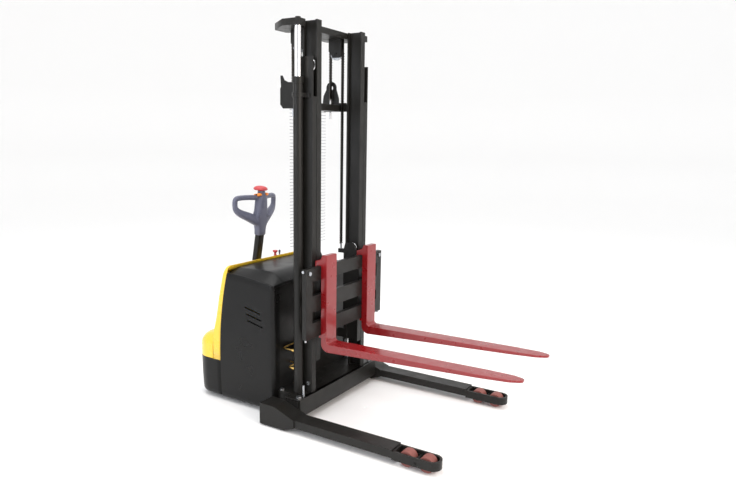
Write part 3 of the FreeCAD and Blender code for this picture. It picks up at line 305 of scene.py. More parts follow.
def tube(bm, points, radii, steps=10, power=2.0, caps=True):
    """A tube along points; radii holds (across, along the first normal) at each point."""
    rings = []
    normal = None
    for k, point in enumerate(points):
        ahead = points[min(k + 1, len(points) - 1)] - points[max(k - 1, 0)]
        ahead.normalize()
        if normal is None:
            reference = Vector((1, 0, 0)) if abs(ahead.x) < 0.9 else Vector((0, 1, 0))
            normal = (reference - ahead * reference.dot(ahead)).normalized()
        else:
            normal = (normal - ahead * normal.dot(ahead)).normalized()
        side = ahead.cross(normal)
        rings.append(oval(point, side, normal, radii[k][0], radii[k][1], power, steps))
    loft(bm, rings, caps=caps)


def curve_points(control, count):
    """Points along a smooth curve through the control points."""
    out = []
    spans = len(control) - 1
    for k in range(count + 1):
        place = k / count * spans
        i = min(int(place), spans - 1)
        t = place - i
        p0, p1 = control[max(i - 1, 0)], control[i]
        p2, p3 = control[i + 1], control[min(i + 2, spans)]
        out.append(0.5 * ((2 * p1) + (p2 - p0) * t + (2 * p0 - 5 * p1 + 4 * p2 - p3) * t * t
                          + (3 * p1 - p0 - 3 * p2 + p3) * t ** 3))
    return out


def round_cad_edges(node, width, finish):
    """Gives a CAD node its finish and rounds its edges with modifiers."""
    part = frame["nodes"][node]
    part.data.materials.clear()
    part.data.materials.append(FINISHES[finish])
    weld = part.modifiers.new("weld", "WELD")
    weld.merge_threshold = 0.00001
    if width:
        bevel = part.modifiers.new("edges", "BEVEL")
        bevel.width = width
        bevel.segments = 2
        bevel.limit_method = "ANGLE"
        bevel.angle_limit = math.radians(40)
        bevel.use_clamp_overlap = True
    normals = part.modifiers.new("normals", "WEIGHTED_NORMAL")
    normals.keep_sharp = False


# ---- moulded covers -----------------------------------------------------------------------------
# how far the black covers draw in at the bottom: (height above their lower edge, inset) in mm
TUCK = [(0, 27), (5, 16), (16, 9), (42, 6), (120, 2), (236, 0)]


def plan_path(half, back, front, radius, inset, steps=14):
    """The covers' outline in plan, from the left edge round the rear to the right edge."""
    half, back, radius = half - inset, back + inset, radius - inset
    left = [(back + radius - radius * math.sin(math.pi / 2 * k / steps),
             half - radius + radius * math.cos(math.pi / 2 * k / steps))
            for k in range(steps + 1)]
    start = [(front + (left[0][0] - front) * k / 3, half) for k in range(3)]
    left = start + left
    return left + [(x, -y) for x, y in reversed(left)]


def panel_rear_edge(z, skirt_edge, cowl_edge, low, high):
    """X of the joint between a side panel and the yellow cowl, at a height."""
    share = max(0.0, (z - low) / (high - low))
    return skirt_edge + (cowl_edge - skirt_edge) * share ** 2.2


def make_skirt(sizes):
    low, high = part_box("rear_skirt")
    rows = []
    for up, inset in TUCK + [((high.z - low.z) / MM, 0)]:
        z = min(low.z + up * MM, high.z)
        rows.append([Vector((x, y, z)) for x, y in
                     plan_path(high.y, low.x, high.x, sizes.cover_corner, inset * MM)])
    bm = bmesh.new()
    loft(bm, rows, closed=False, caps=False)
    return piece_from(bm, "rear_skirt_shell", "cover_black", "root", ["rear_skirt"],
                      wall=sizes.cover_wall)


def make_side_panel(sizes, side, node):
    """A side panel: tucked in at the bottom, its top edge falling to a rounded front corner."""
    low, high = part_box(node)
    skirt_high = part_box("rear_skirt")[1]
    cowl_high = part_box("rear_cowl")[1]
    half = max(abs(low.y), abs(high.y))
    gap, nose, lip = 1.5 * MM, 20 * MM, 55 * MM
    top_rear, top_front = high.z, high.z - 38 * MM
    heights = [low.z + up * MM for up, _ in TUCK]
    insets = [inset * MM for _, inset in TUCK]
    upper, straight, turned_in = 16, 24, 8     # grid steps: rows above the tuck, columns
    rows = []
    for k in range(len(TUCK) + upper + 2):
        row = []
        for j in range(straight + turned_in + 2):
            along = min(j / straight, 1.0)
            front_x = high.x - nose
            fall = top_rear - (top_rear - top_front) * along ** 1.9
            if k < len(TUCK):
                z, inset = heights[k], insets[k]
            else:
                share = min((k - len(TUCK) + 1) / upper, 1.0)
                z = heights[-1] + (fall - 6 * MM - heights[-1]) * share
                inset = 0.0
            if k == len(TUCK) + upper:
                z, inset = fall - 1.5 * MM, 2.0 * MM
            if k == len(TUCK) + upper + 1:
                z, inset = fall, 7 * MM
            rear_x = panel_rear_edge(z, skirt_high.x + gap, cowl_high.x + gap, skirt_high.z,
                                     top_rear)
            x, y = rear_x + (front_x - rear_x) * along, half - inset
            if j > straight:
                turn = math.pi / 2 * min((j - straight) / turned_in, 1.0)
                x = front_x + nose * math.sin(turn) - inset * math.sin(turn)
                y = half - nose + (nose - inset) * math.cos(turn)
            row.append(Vector((x, side * y, z)))
        row.append(Vector((row[-1].x, side * (half - lip), row[-1].z)))
        rows.append(row)
    bm = bmesh.new()
    loft(bm, rows, closed=False, caps=False)
    panel = piece_from(bm, node + "_shell", "cover_black", None)
    skin = panel.modifiers.new("wall", "SOLIDIFY")
    skin.thickness = sizes.cover_wall
    skin.offset = 1.0 if side < 0 else -1.0
    # three slanting vents
    cutter = bmesh.new()
    for k in range(3):
        x, z = high.x - (215 - 10 * k) * MM, (640 - 40 * k) * MM
        corners = [(x, z), (x + 118 * MM, z - 26 * MM), (x + 119 * MM, z - 34 * MM),
                   (x + 60 * MM, z - 22 * MM), (x + 1 * MM, z - 9 * MM)]
        loft(cutter, [[Vector((cx, side * (half - 30 * MM), cz)) for cx, cz in corners],
                      [Vector((cx, side * (half + 30 * MM), cz)) for cx, cz in corners]])
    cut_by(panel, cutter)
    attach(panel, "root")
    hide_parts(node)
    return panel


def cut_by(piece, cutter):
    """Cuts a bmesh out of a piece and applies all of the piece's modifiers."""
    bmesh.ops.recalc_face_normals(cutter, faces=cutter.faces)
    mesh = bpy.data.meshes.new("cutter")
    cutter.to_mesh(mesh)
    cutter.free()
    tool = bpy.data.objects.new("cutter", mesh)
    bpy.context.scene.collection.objects.link(tool)
    cut = piece.modifiers.new("cut", "BOOLEAN")
    cut.object = tool
    cut.solver = "EXACT"
    bpy.context.view_layer.update()
    depsgraph = bpy.context.evaluated_depsgraph_get()
    result = bpy.data.meshes.new_from_object(piece.evaluated_get(depsgraph))
    old = piece.data
    piece.modifiers.clear()
    piece.data = result
    result.name = piece.name
    bpy.data.meshes.remove(old)
    bpy.data.objects.remove(tool)
    bpy.data.meshes.remove(mesh)
    result.shade_smooth()
    result.set_sharp_from_angle(angle=math.radians(38))


def make_cowl(sizes):
    """The yellow rear cowl: a leaning rear wall, rounded sides and a flat rim at the top."""
    low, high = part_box("rear_cowl")
    panel_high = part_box("side_panel_left")[1]
    skirt_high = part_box("rear_skirt")[1]
    half, gap = high.y, 1.0 * MM
    # (height, how far ahead of the lowest rear face, corner radius) in mm
    stations = [(0, 0, 6), (90, 1, 6), (150, 5, 6), (178, 6, 8), (215, 10, 20), (260, 15, 32),
                (326, 27, 36), (400, 41, 36), (454, 54, 36), (510, 69, 34), (551, 82, 32),
                (574, 93, 30), (590, 104, 27), (600, 114, 24), (604, 124, 22)]
    rows = []
    for up, ahead, radius in stations:
        z = low.z + up * MM
        back = low.x + ahead * MM
        edge = panel_rear_edge(min(z, panel_high.z), skirt_high.x, high.x, skirt_high.z,
                               panel_high.z) - gap
        edge = max(edge, back + radius * MM + 2 * MM)
        draw = max(0.0, up - 570) * 0.35 * MM
        rows.append([Vector((x, y, z)) for x, y in
                     plan_path(half - draw, back, edge, radius * MM, 0.0, 10)])
    # the rim's flat top and the small step down to the top cover
    top = rows[-1]
    rim_front = high.x - 1 * MM
    rows.append([Vector((rim_front if abs(p.y) < half - 9 * MM else min(p.x + 30 * MM, rim_front),
                         p.y * (1 - 6 * MM / half), high.z)) for p in top])
    rows.append([Vector((p.x, p.y, high.z - 24 * MM)) for p in rows[-1]])
    bm = bmesh.new()
    loft(bm, rows, closed=False, caps=False)
    return piece_from(bm, "rear_cowl_shell", "cowl_yellow", "root", ["rear_cowl"], sharp=50,
                      wall=sizes.cover_wall)


def make_drive_cover(sizes):
    """The hump over the drive unit: round rear corners, a soft shoulder and a sloping top."""
    low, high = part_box("drive_cover")
    top_slope, side_tall = 0.16, 78          # the top tilts above the straight side, in mm
    shoulder = [(0, 0), (60, 0), (78, 0.5), (93, 4), (106, 11), (117, 21), (125, 33), (131, 47)]
    rows = []
    for up, inset in shoulder:
        ring = []
        for x, y in plan_path(high.y, low.x, high.x, sizes.cover_corner, inset * MM):
            share = max(0.0, (up - side_tall) / (shoulder[-1][0] - side_tall))
            lift = top_slope * (x - low.x) * share
            ring.append(Vector((x, y, low.z + up * MM + lift)))
        rows.append(ring)
    bm = bmesh.new()
    grid = loft(bm, rows, closed=False, caps=False)
    last = grid[-1]
    count = len(last)
    for k in range(count // 2 - 1):
        bm.faces.new((last[k], last[k + 1], last[count - 2 - k], last[count - 1 - k]))
    cover = piece_from(bm, "drive_cover_shell", "cowl_yellow", None, sharp=50,
                       wall=sizes.cover_wall)
    steer = JOINTS["steering"]["pos_m"]
    cutter = bmesh.new()
    loft(cutter, [[Vector((steer[0] + COLUMN_HOLE * math.cos(a), COLUMN_HOLE * math.sin(a), z))
                   for a in (2 * math.pi * k / 40 for k in range(40))]
                  for z in (low.z + 0.05, high.z + 0.1)])
    cut_by(cover, cutter)
    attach(cover, "root")
    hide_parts("drive_cover")
    return cover


def make_top_cover(sizes):
    """The black lid: a nearly flat crown with sloping facets down to the panels and the mast."""
    low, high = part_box("top_cover")
    half = high.y
    flat = half - 88 * MM
    stations = 14
    rows = []
    for k in range(stations + 1):
        along = k / stations
        x = low.x + (high.x - low.x) * along
        edge_z = high.z - 24 * MM - 36 * MM * along ** 1.9
        drop = max(0.0, (along - 0.72) / 0.28)
        crown_z = high.z - (high.z - low.z - 8 * MM) * drop ** 1.6
        crown_z = max(crown_z, edge_z + 2 * MM)
        shape = [(half, edge_z - 10 * MM), (half, edge_z - 2 * MM), (half - 3 * MM, edge_z)]
        shape += [(flat + 8 * MM, crown_z - 3 * MM), (flat, crown_z - 0.6 * MM),
                  (flat - 12 * MM, crown_z)]
        shape += [(flat * 0.5, crown_z + 1.5 * MM), (0.0, crown_z + 2 * MM)]
        section = shape + [(-y, z) for y, z in reversed(shape[:-1])]
        rows.append([Vector((x, y, z)) for y, z in section])
    rows.append([Vector((p.x + 4 * MM, p.y, p.z - 16 * MM)) for p in rows[-1]])
    bm = bmesh.new()
    loft(bm, rows, closed=False, caps=False)
    return piece_from(bm, "top_cover_lid", "cover_black", "root", ["top_cover"], sharp=24,
                      wall=sizes.cover_wall)


# ---- chains, sheaves, rollers and guard ---------------------------------------------------------
def chain_link(bm, centre, direction, across, width, pitch):
    """One pitch of leaf chain: five waisted plates side by side and a pin."""
    plate = 2.6 * MM
    plates = 5
    normal = direction.cross(across)
    for k in range(plates):
        offset = (k - (plates - 1) / 2) * (width - plate) / (plates - 1)
        shift = 0.5 * pitch if k % 2 else 0.0
        outline = []
        for end in (1, -1):
            for a in (-80, -40, 0, 40, 80):
                angle = math.radians(a)
                outline.append((end * (0.5 * pitch + 6.0 * MM * math.cos(angle)),
                                end * 6.0 * MM * math.sin(angle)))
            outline.append((0.0, end * 2.8 * MM))
        rings = []
        for face in (-1, 1):
            rings.append([centre + direction * (u + shift) + normal * v
                          + across * (offset + face * plate / 2) for u, v in outline])
        loft(bm, rings)
    tube(bm, [centre + direction * 0.5 * pitch - across * (width / 2 + 1 * MM),
              centre + direction * 0.5 * pitch + across * (width / 2 + 1 * MM)],
         [(2.6 * MM, 2.6 * MM)] * 2, steps=8)


def make_chains(sizes):
    pitch = sizes.chain_pitch
    sheave = JOINTS["sheave_spin"]["pos_m"]
    rear_low, rear_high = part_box("chain_rear_strands")
    front_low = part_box("chain_front_strands")[0]
    width, radius = CHAIN_WIDTH, SHEAVE_RADIUS
    y_mid = rear_high.y - width / 2
    across = Vector((0, 1, 0))
    for name, side in (("left", 1), ("right", -1)):
        y = side * y_mid
        strands = [("chain_rear_" + name, sheave[0] - radius, rear_low.z, sheave[2], "root",
                    "inner_mast", "chain_rear_strands"),
                   ("chain_front_" + name, sheave[0] + radius, front_low.z, sheave[2], "carriage",
                    "inner_mast", "chain_front_strands")]
        for piece_name, x, low, high, lower_body, upper_body, node in strands:
            bm = bmesh.new()
            count = int((high - low) / pitch)
            step = (high - low) / count
            for k in range(count):
                chain_link(bm, Vector((x, y, low + (k + 0.5) * step)), Vector((0, 0, 1)), across,
                           width, step)
            strand = piece_from(bm, piece_name, "chain_steel", None, [node])
            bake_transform(strand)
        bm = bmesh.new()
        count = int(math.pi * radius / pitch)
        for k in range(count):
            a = math.pi * (k + 0.5) / count
            centre = Vector((sheave[0] + radius * math.cos(a), y, sheave[2] + radius * math.sin(a)))
            chain_link(bm, centre, Vector((-math.sin(a), 0, math.cos(a))), across, width, pitch)
        piece_from(bm, "chain_over_sheave_" + name, "chain_steel", "inner_mast")


def make_sheaves(sizes):
    sheave = JOINTS["sheave_spin"]["pos_m"]
    low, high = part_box("chain_sheaves")
    half_y = CHAIN_WIDTH / 2
    y_mid = high.y - half_y
    rim = (high.z - low.z) / 2
    bore = SHEAVE_BORE
    profile = [(bore, -half_y), (rim * 0.42, -half_y), (rim * 0.46, -half_y + 3 * MM),
               (rim * 0.86, -half_y + 3 * MM), (rim * 0.9, -half_y), (rim - 1 * MM, -half_y),
               (rim, -half_y + 1 * MM), (rim, half_y - 1 * MM), (rim - 1 * MM, half_y),
               (rim * 0.9, half_y), (rim * 0.86, half_y - 3 * MM), (rim * 0.46, half_y - 3 * MM),
               (rim * 0.42, half_y), (bore, half_y)]
    bm = bmesh.new()
    for side in (1, -1):
        turned(bm, profile, (sheave[0], side * y_mid, sheave[2]), sizes.round_steps)
    piece_from(bm, "chain_sheave_pair", "zinc", "sheaves", ["chain_sheaves"], sharp=30)


def make_rollers(sizes):
    """Mast and carriage rollers: hardened rings with a recessed, sealed bearing face."""
    for node, joint, body in (("outer_rail_rollers", "outer_roller_spin", "outer_rollers"),
                              ("inner_rail_rollers", "inner_roller_spin", "inner_rollers"),
                              ("upper_carriage_rollers", "upper_roller_spin", "upper_rollers"),
                              ("lower_carriage_rollers", "lower_roller_spin", "lower_rollers")):
        low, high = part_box(node)
        centre = JOINTS[joint]["pos_m"]
        radius = (high.z - low.z) / 2
        bore = STUB_BORE
        nearest = min(abs(v.co.y) for v in frame["nodes"][node].data.vertices)
        half = (high.y - nearest) / 2
        mid = (high.y + nearest) / 2
        profile = [(bore, -half), (radius * 0.45, -half), (radius * 0.48, -half + 1.2 * MM),
                   (radius * 0.74, -half + 1.2 * MM), (radius * 0.77, -half),
                   (radius - 2 * MM, -half), (radius, -half + 2 * MM), (radius, half - 2 * MM),
                   (radius - 2 * MM, half), (radius * 0.77, half), (radius * 0.74, half - 1.2 * MM),
                   (radius * 0.48, half - 1.2 * MM), (radius * 0.45, half), (bore, half)]
        bm = bmesh.new()
        for side in (1, -1):
            turned(bm, profile, (centre[0], side * mid, centre[2]), sizes.round_steps)
        piece_from(bm, node + "_rings", "chrome", body, [node], sharp=30)


def make_guard(sizes):
    """Round welded wires across the mast, with three uprights behind them."""
    low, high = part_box("mast_guard")
    x = high.x - sizes.guard_wire / 2
    radius = sizes.guard_wire / 2
    rows = int((high.z - low.z) / sizes.guard_pitch)
    bm = bmesh.new()
    for k in range(rows + 1):
        z = low.z + radius + (high.z - low.z - 2 * radius) * k / rows
        tube(bm, [Vector((x, low.y, z)), Vector((x, high.y, z))], [(radius, radius)] * 2, 8)
    for share in (0.2, 0.5, 0.8):
        y = low.y + (high.y - low.y) * share
        tube(bm, [Vector((x - 2 * radius, y, low.z)), Vector((x - 2 * radius, y, high.z))],
             [(radius, radius)] * 2, 8)
    piece_from(bm, "guard_wires", "zinc", "root", ["mast_guard"])


# ---- wheels -------------------------------------------------------------------------------------
def make_wheel(sizes, node, joint, body, slot, core_share, bore):
    """A wheel with a moulded tread and, as a piece of its own, a hub with a sunken bearing."""
    low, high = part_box(node)
    centre = (JOINTS[joint]["pos_m"][0], (low.y + high.y) / 2, JOINTS[joint]["pos_m"][2])
    radius, half = (high.z - low.z) / 2, (high.y - low.y) / 2
    core = radius * core_share
    edge = min(5 * MM, half * 0.3)
    tread = [(core, -half + 1 * MM), (radius - edge, -half),
             (radius - edge * 0.3, -half + edge * 0.3), (radius, -half + edge),
             (radius, half - edge), (radius - edge * 0.3, half - edge * 0.3),
             (radius - edge, half), (core, half - 1 * MM)]
    bm = bmesh.new()
    turned(bm, tread, centre, sizes.round_steps)
    piece_from(bm, node + "_tread", slot, body, [node], sharp=30)
    hub = [(bore, -half + 1 * MM), (core * 0.52, -half + 1 * MM), (core * 0.56, -half + 5 * MM),
           (core * 0.82, -half + 5 * MM), (core * 0.88, -half + 1 * MM), (core, -half + 1 * MM),
           (core, half - 1 * MM), (core * 0.88, half - 1 * MM), (core * 0.82, half - 5 * MM),
           (core * 0.56, half - 5 * MM), (core * 0.52, half - 1 * MM), (bore, half - 1 * MM)]
    bm = bmesh.new()
    turned(bm, hub, centre, sizes.round_steps)
    piece_from(bm, node + "_hub", "cast_iron", body, sharp=30)


# ---- tiller -------------------------------------------------------------------------------------
HEAD_UP = -Vector(JOINTS["belly_press"]["axis"]).normalized()
HEAD_FRONT = Vector((HEAD_UP.z, 0, -HEAD_UP.x))
HEAD_SIDE = Vector((0, 1, 0))
HEAD_BASE = Vector(JOINTS["throttle_twist"]["pos_m"]) - HEAD_UP * THROTTLE_UP


def on_head(side, front, up):
    """A place on the tiller head, in mm to the left, forward and up from its base."""
    return HEAD_BASE + (HEAD_SIDE * side + HEAD_FRONT * front + HEAD_UP * up) * MM


def make_tiller_arm():
    """The arm: a rounded box section with a faint bow, slimmer at its foot to fit the column."""
    pivot = Vector(JOINTS["tiller_tilt"]["pos_m"])
    end = HEAD_BASE + HEAD_UP * 12 * MM
    bow = Vector((1, 0, 0)) * 3 * MM
    control = [pivot, pivot.lerp(end, 0.33) + bow, pivot.lerp(end, 0.68) + bow, end]
    points = curve_points(control, 22)
    bm = bmesh.new()
    swell = [min(1.0, max(0.0, (k - 2) / 3)) for k in range(len(points))]
    tube(bm, points, [((22 + 5 * s) * MM, (17 + 5 * s) * MM) for s in swell], steps=28, power=4.5)
    turned(bm, [(TILLER_BORE, -24 * MM), (22 * MM, -24 * MM), (23 * MM, -23 * MM),
                (23 * MM, 23 * MM), (22 * MM, 24 * MM), (TILLER_BORE, 24 * MM)], pivot, 32)
    piece_from(bm, "tiller_arm_tube", "frame_black", "tiller", ["tiller_arm"], sharp=45)


def make_tiller_head():
    """The head: a collar that swells into a body, with a swept-back loop grip on each side."""
    bm = bmesh.new()
    # (up, half width, half depth, forward) of the body's sections, in mm
    sections = [(-6, 31, 26, 0), (0, 34, 29, 0), (24, 35, 29, 0), (52, 40, 30, 0),
                (82, 58, 31, 0), (104, 62, 31, 0), (128, 55, 31, 0), (160, 44, 31, 1),
                (205, 40, 31, 2), (238, 38, 30, 2), (262, 17, 25, 2), (282, 17, 24, 2),
                (290, 14, 20, 2)]
    rings = [oval(on_head(0, front, up), HEAD_SIDE, HEAD_FRONT, half * MM, depth * MM, 3.4, 36)
             for up, half, depth, front in sections]
    loft(bm, rings)
    sweep = math.tan(math.radians(18))
    for side in (1, -1):
        control = [on_head(side * w, -sweep * max(0, w - 30), up) for w, up in
                   ((22, 82), (92, 116), (150, 142), (180, 168), (188, 204), (178, 236), (120, 243),
                    (34, 241))]
        points = curve_points(control, 44)
        radii = []
        for k in range(len(points)):
            t = k / (len(points) - 1)
            thick = 34 - 18 * min(1.0, t / 0.5)
            radii.append((thick * MM, (thick * 0.9) * MM))
        tube(bm, points, radii, steps=20, power=2.5)
    piece_from(bm, "tiller_head_moulding", "handle_grey", "tiller", ["tiller_head"], sharp=55)
    # raised control pads on the front face
    for name, side, up, half, tall in (("horn_pad", 0, 200, 17, 24),
                                       ("lift_pad_left", 40, 122, 12, 12),
                                       ("lift_pad_right", -40, 122, 12, 12)):
        bm = bmesh.new()
        depth = 36 if side == 0 else 33
        rings = [oval(on_head(side, depth + lift, up), HEAD_SIDE, HEAD_UP, (half + grow) * MM,
                      (tall + grow) * MM, 4.0, 28)
                 for lift, grow in ((-12, 0), (-1.5, 0), (0, -2))]
        loft(bm, rings)
        piece_from(bm, name, "handle_grey", "tiller", sharp=35)
    for side in (1, -1):
        bm = bmesh.new()
        control = [on_head(side * w, -sweep * (w - 30), up) for w, up in
                   ((66, 243), (100, 243.5), (140, 242), (164, 239))]
        points = curve_points(control, 26)
        radii = []
        for k in range(len(points)):
            rib = 1.1 if k % 2 else 0.0
            radii.append(((15.2 + rib) * MM, (14.2 + rib) * MM))
        tube(bm, points, radii, steps=20, power=2.3)
        piece_from(bm, "grip_sleeve_" + ("left" if side > 0 else "right"), "handle_grey", "tiller")


def make_throttle():
    """The butterfly throttle: a shaft and two double-lobed wings."""
    centre = Vector(JOINTS["throttle_twist"]["pos_m"])
    bm = bmesh.new()
    tube(bm, [centre - HEAD_SIDE * 47 * MM, centre + HEAD_SIDE * 47 * MM],
         [(9 * MM, 9 * MM)] * 2, 24)
    for side in (1, -1):
        rings = []
        for out, scale in ((21, 0.86), (23, 0.97), (34, 1.0), (43, 0.94), (47, 0.8)):
            ring = []
            for k in range(40):
                a = 2 * math.pi * k / 40
                reach = (13 + 17 * abs(math.cos(a)) ** 2.6) * scale
                forward, up = reach * math.cos(a + 0.35), reach * math.sin(a + 0.35) * 0.7
                ring.append(centre + (HEAD_SIDE * side * out + HEAD_FRONT * forward
                                      + HEAD_UP * up) * MM)
            rings.append(ring)
        loft(bm, rings)
    piece_from(bm, "butterfly_throttle", "throttle_orange", "throttle_rocker", ["throttle"],
               sharp=50)


def make_belly_button():
    """The red reversing button: a soft dome that wraps over the head's narrow top."""
    bm = bmesh.new()
    outside = [(287, 32, 38), (291, 38, 44), (298, 39, 45), (305, 35, 41), (311, 26, 32),
               (315, 14, 18), (316, 3, 5)]
    rings = [oval(on_head(0, -6, up), HEAD_SIDE, HEAD_FRONT, half * MM, depth * MM, 2.6, 36)
             for up, half, depth in outside]
    inside = [(287, 24, 34), (299.5, 24, 34)]
    inner = [oval(on_head(0, -6, up), HEAD_SIDE, HEAD_FRONT, half * MM, depth * MM, 2.6, 36)
             for up, half, depth in inside]
    rows = loft(bm, [inner[1], inner[0]] + rings, caps=False)
    bm.faces.new(rows[0])
    bm.faces.new(rows[-1])
    piece_from(bm, "reversing_button", "button_red", "belly", ["belly_button"], sharp=50)


def make_switches():
    """The mushroom knob of the battery disconnect, and the key with its bow and shaft."""
    low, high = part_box("disconnect_knob")
    centre = (low + high) / 2
    bm = bmesh.new()
    profile = [(low.z, 11), (low.z + 3 * MM, 11.5), (low.z + 5 * MM, 8), (high.z - 18 * MM, 8),
               (high.z - 13 * MM, 14), (high.z - 10 * MM, 17), (high.z - 5 * MM, 17.4),
               (high.z - 1.5 * MM, 14), (high.z, 8)]
    loft(bm, [oval(Vector((centre.x, centre.y, z)), Vector((0, 1, 0)), Vector((1, 0, 0)), r * MM,
                   r * MM, 2.0, 32) for z, r in profile])
    piece_from(bm, "mushroom_knob", "button_red", "knob", ["disconnect_knob"], sharp=40)
    low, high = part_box("key")
    centre = (low + high) / 2
    bm = bmesh.new()
    loft(bm, [oval(Vector((centre.x, centre.y, z)), Vector((0, 1, 0)), Vector((1, 0, 0)),
                   half * MM, thick * MM, 3.0, 28)
              for z, half, thick in ((low.z, 4.5, 4.5), (low.z + 9 * MM, 4.5, 4.5),
                                     (low.z + 11 * MM, 6, 3.2), (low.z + 15 * MM, 9.5, 2.8),
                                     (high.z - 6 * MM, 10, 2.8), (high.z - 2 * MM, 7.5, 2.6),
                                     (high.z, 3.5, 2.0))])
    piece_from(bm, "ignition_key", "handle_grey", "key_barrel", ["key"], sharp=40)


# ---- operators ----------------------------------------------------------------------------------
class STACKER_OT_stage(bpy.types.Operator):
    """Sets the camera, the pale floor and the soft studio lights"""
    bl_idname = "stacker.stage"
    bl_label = "Studio stage"

    def execute(self, context):
        scene = context.scene
        place = Vector((1.9277, -3.1721, 1.6183))
        turn, pitch, roll = (math.radians(v) for v in (31.28, 9.2, 0.94))
        ahead = Vector((-math.sin(turn) * math.cos(pitch), math.cos(turn) * math.cos(pitch),
                        -math.sin(pitch)))
        level = Vector((math.cos(turn), math.sin(turn), 0))
        above = level.cross(ahead)
        right = math.cos(roll) * level + math.sin(roll) * above
        up = -math.sin(roll) * level + math.cos(roll) * above
        lens = bpy.data.cameras.new("camera")
        lens.sensor_width = 36.0
        lens.lens = 31.07
        camera = bpy.data.objects.new("camera", lens)
        camera.matrix_world = Matrix((
            (right.x, up.x, -ahead.x, place.x), (right.y, up.y, -ahead.y, place.y),
            (right.z, up.z, -ahead.z, place.z), (0, 0, 0, 1)))
        scene.collection.objects.link(camera)
        scene.camera = camera

        # a floor that sweeps up far behind the machine on every side
        bm = bmesh.new()
        rings = []
        for radius, z in ((0.01, 0), (3, 0), (7, 0), (11, 0.0), (13, 0.25), (15, 1.2), (16, 3.0),
                          (16.4, 9.0)):
            rings.append([Vector((radius * math.cos(a), radius * math.sin(a), z))
                          for a in (2 * math.pi * k / 64 for k in range(64))])
        loft(bm, rings, caps=False)
        mesh = bpy.data.meshes.new("studio_floor")
        bm.to_mesh(mesh)
        bm.free()
        mesh.shade_smooth()
        floor = bpy.data.objects.new("studio_floor", mesh)
        scene.collection.objects.link(floor)
        # rolled paper backdrop: matt white with no visible texture
        paper = bpy.data.materials.new("backdrop_paper")
        paper.use_nodes = True
        shader = paper.node_tree.nodes["Principled BSDF"]
        shader.inputs["Base Color"].default_value = scene.stacker_colours.floor
        shader.inputs["Roughness"].default_value = 0.9
        shader.inputs["Specular IOR Level"].default_value = 0.1
        mesh.materials.append(paper)

        world = bpy.data.worlds.new("studio")
        world.use_nodes = True
        sky = world.node_tree.nodes["Background"]
        sky.inputs["Color"].default_value = (1.0, 1.0, 1.0, 1.0)
        sky.inputs["Strength"].default_value = 1.0
        scene.world = world
        # (name, place, target, size, power, colour)
        softboxes = (("key_softbox", (4.6, -1.2, 2.6), (0, 0, 1.0), 2.6, 120, "#FFF1E2"),
                     ("top_softbox", (-0.4, -0.4, 5.2), (-0.2, 0, 0), 4.0, 150, "#FFFFFF"),
                     ("fill_softbox", (-1.8, -5.0, 2.2), (-0.3, 0, 0.8), 2.4, 60, "#EEF3FF"))
        for name, spot, target, size, power, tint in softboxes:
            light = bpy.data.lights.new(name, "AREA")
            light.shape = "SQUARE"
            light.size = size
            light.energy = power
            light.color = linear(tint)[:3]
            lamp = bpy.data.objects.new(name, light)
            lamp.location = spot
            aim = Vector(target) - Vector(spot)
            lamp.rotation_euler = aim.to_track_quat("-Z", "Y").to_euler()
            scene.collection.objects.link(lamp)
        scene.view_settings.view_transform = "Standard"
        return {"FINISHED"}


class STACKER_OT_metalwork(bpy.types.Operator):
    """Gives every piece of the frame its finish and rounds its edges"""
    bl_idname = "stacker.metalwork"
    bl_label = "Metalwork"

    def execute(self, context):
        sizes = context.scene.stacker_sizes
        slots = {part["node"]: part["material_slot"] for part in frame["record"]["subparts"]}
        soft = {"leg_left", "leg_right", "crossbeam", "fork_left", "fork_right"}
        plain = {"mast_guard", "chain_front_strands", "chain_rear_strands"}
        for node, slot in slots.items():
            width = 0.0 if node in plain else sizes.plate_edge
            width = sizes.casting_edge if node in soft else width
            round_cad_edges(node, width, slot)
        return {"FINISHED"}


class STACKER_OT_covers(bpy.types.Operator):
    """Makes the moulded covers of the body"""
    bl_idname = "stacker.covers"
    bl_label = "Covers"

    def execute(self, context):
        sizes = context.scene.stacker_sizes
        make_skirt(sizes)
        for node, side in (("side_panel_left", 1), ("side_panel_right", -1)):
            make_side_panel(sizes, side, node)
        make_cowl(sizes)
        make_drive_cover(sizes)
        make_top_cover(sizes)
        return {"FINISHED"}


class STACKER_OT_lift(bpy.types.Operator):
    """Makes the chains, sheaves, rollers and the guard of the mast"""
    bl_idname = "stacker.lift"
    bl_label = "Chains and rollers"

    def execute(self, context):
        sizes = context.scene.stacker_sizes
        make_chains(sizes)
        make_sheaves(sizes)
        make_rollers(sizes)
        make_guard(sizes)
        return {"FINISHED"}


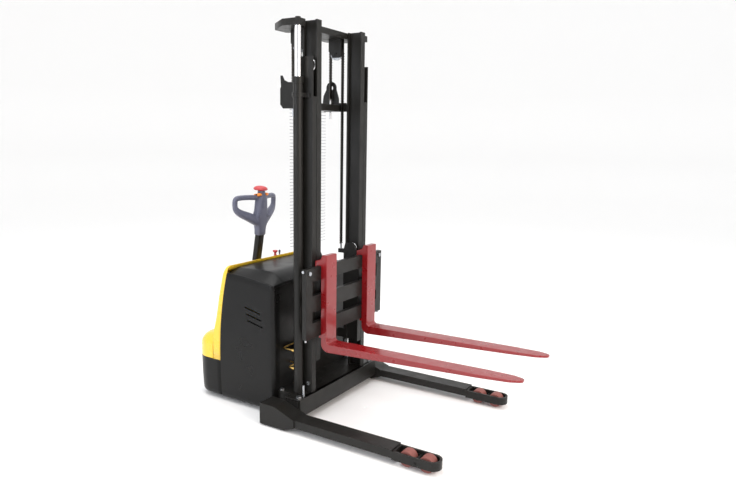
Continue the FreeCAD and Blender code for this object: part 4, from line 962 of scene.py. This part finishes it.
class STACKER_OT_wheels(bpy.types.Operator):
    """Makes the load wheels, the drive wheel and the casters' wheels"""
    bl_idname = "stacker.wheels"
    bl_label = "Wheels"

    def execute(self, context):
        sizes = context.scene.stacker_sizes
        for place in ("front", "rear"):
            for side in ("left", "right"):
                make_wheel(sizes, f"load_wheel_{place}_{side}", f"load_wheel_{place}_spin_{side}",
                           f"wheel_{place[0]}{side[0]}", "polyurethane", 0.62,
                           LOAD_WHEEL_BORE)
        make_wheel(sizes, "drive_wheel", "drive_wheel_spin", "traction_wheel", "tyre", 0.7,
                   DRIVE_WHEEL_BORE)
        for side in ("left", "right"):
            make_wheel(sizes, "caster_wheel_" + side, "caster_spin_" + side,
                       "caster_roll_" + side[0], "tyre", 0.6, CASTER_BORE)
        return {"FINISHED"}


class STACKER_OT_tiller(bpy.types.Operator):
    """Makes the tiller's arm, head, throttle and reversing button"""
    bl_idname = "stacker.tiller"
    bl_label = "Tiller"

    def execute(self, context):
        make_tiller_arm()
        make_tiller_head()
        make_throttle()
        make_belly_button()
        return {"FINISHED"}


class STACKER_OT_switches(bpy.types.Operator):
    """Makes the disconnect knob and the key"""
    bl_idname = "stacker.switches"
    bl_label = "Knob and key"

    def execute(self, context):
        make_switches()
        return {"FINISHED"}


OPERATORS = (STACKER_OT_stage, STACKER_OT_metalwork, STACKER_OT_covers, STACKER_OT_lift,
             STACKER_OT_wheels, STACKER_OT_tiller, STACKER_OT_switches)


class STACKER_PT_sidebar(bpy.types.Panel):
    """Lists the stacker's operators, sizes and colours"""
    bl_idname = "STACKER_PT_sidebar"
    bl_label = "Walkie stacker"
    bl_space_type = "VIEW_3D"
    bl_region_type = "UI"
    bl_category = "Stacker"

    def draw(self, context):
        for group in (context.scene.stacker_sizes, context.scene.stacker_colours):
            for name in group.__annotations__:
                self.layout.prop(group, name)
        for operator in OPERATORS:
            self.layout.operator(operator.bl_idname)


CLASSES = (StackerColours, StackerSizes) + OPERATORS + (STACKER_PT_sidebar,)


def register():
    for item in CLASSES:
        bpy.utils.register_class(item)
    bpy.types.Scene.stacker_colours = PointerProperty(type=StackerColours)
    bpy.types.Scene.stacker_sizes = PointerProperty(type=StackerSizes)


def unregister():
    del bpy.types.Scene.stacker_sizes
    del bpy.types.Scene.stacker_colours
    for item in reversed(CLASSES):
        bpy.utils.unregister_class(item)


FINISHES = {}


def main():
    register()
    FINISHES.update(make_finishes())
    for operator in OPERATORS:
        group, name = operator.bl_idname.split(".")
        getattr(getattr(bpy.ops, group), name)()


if __name__ == "__main__":
    main()
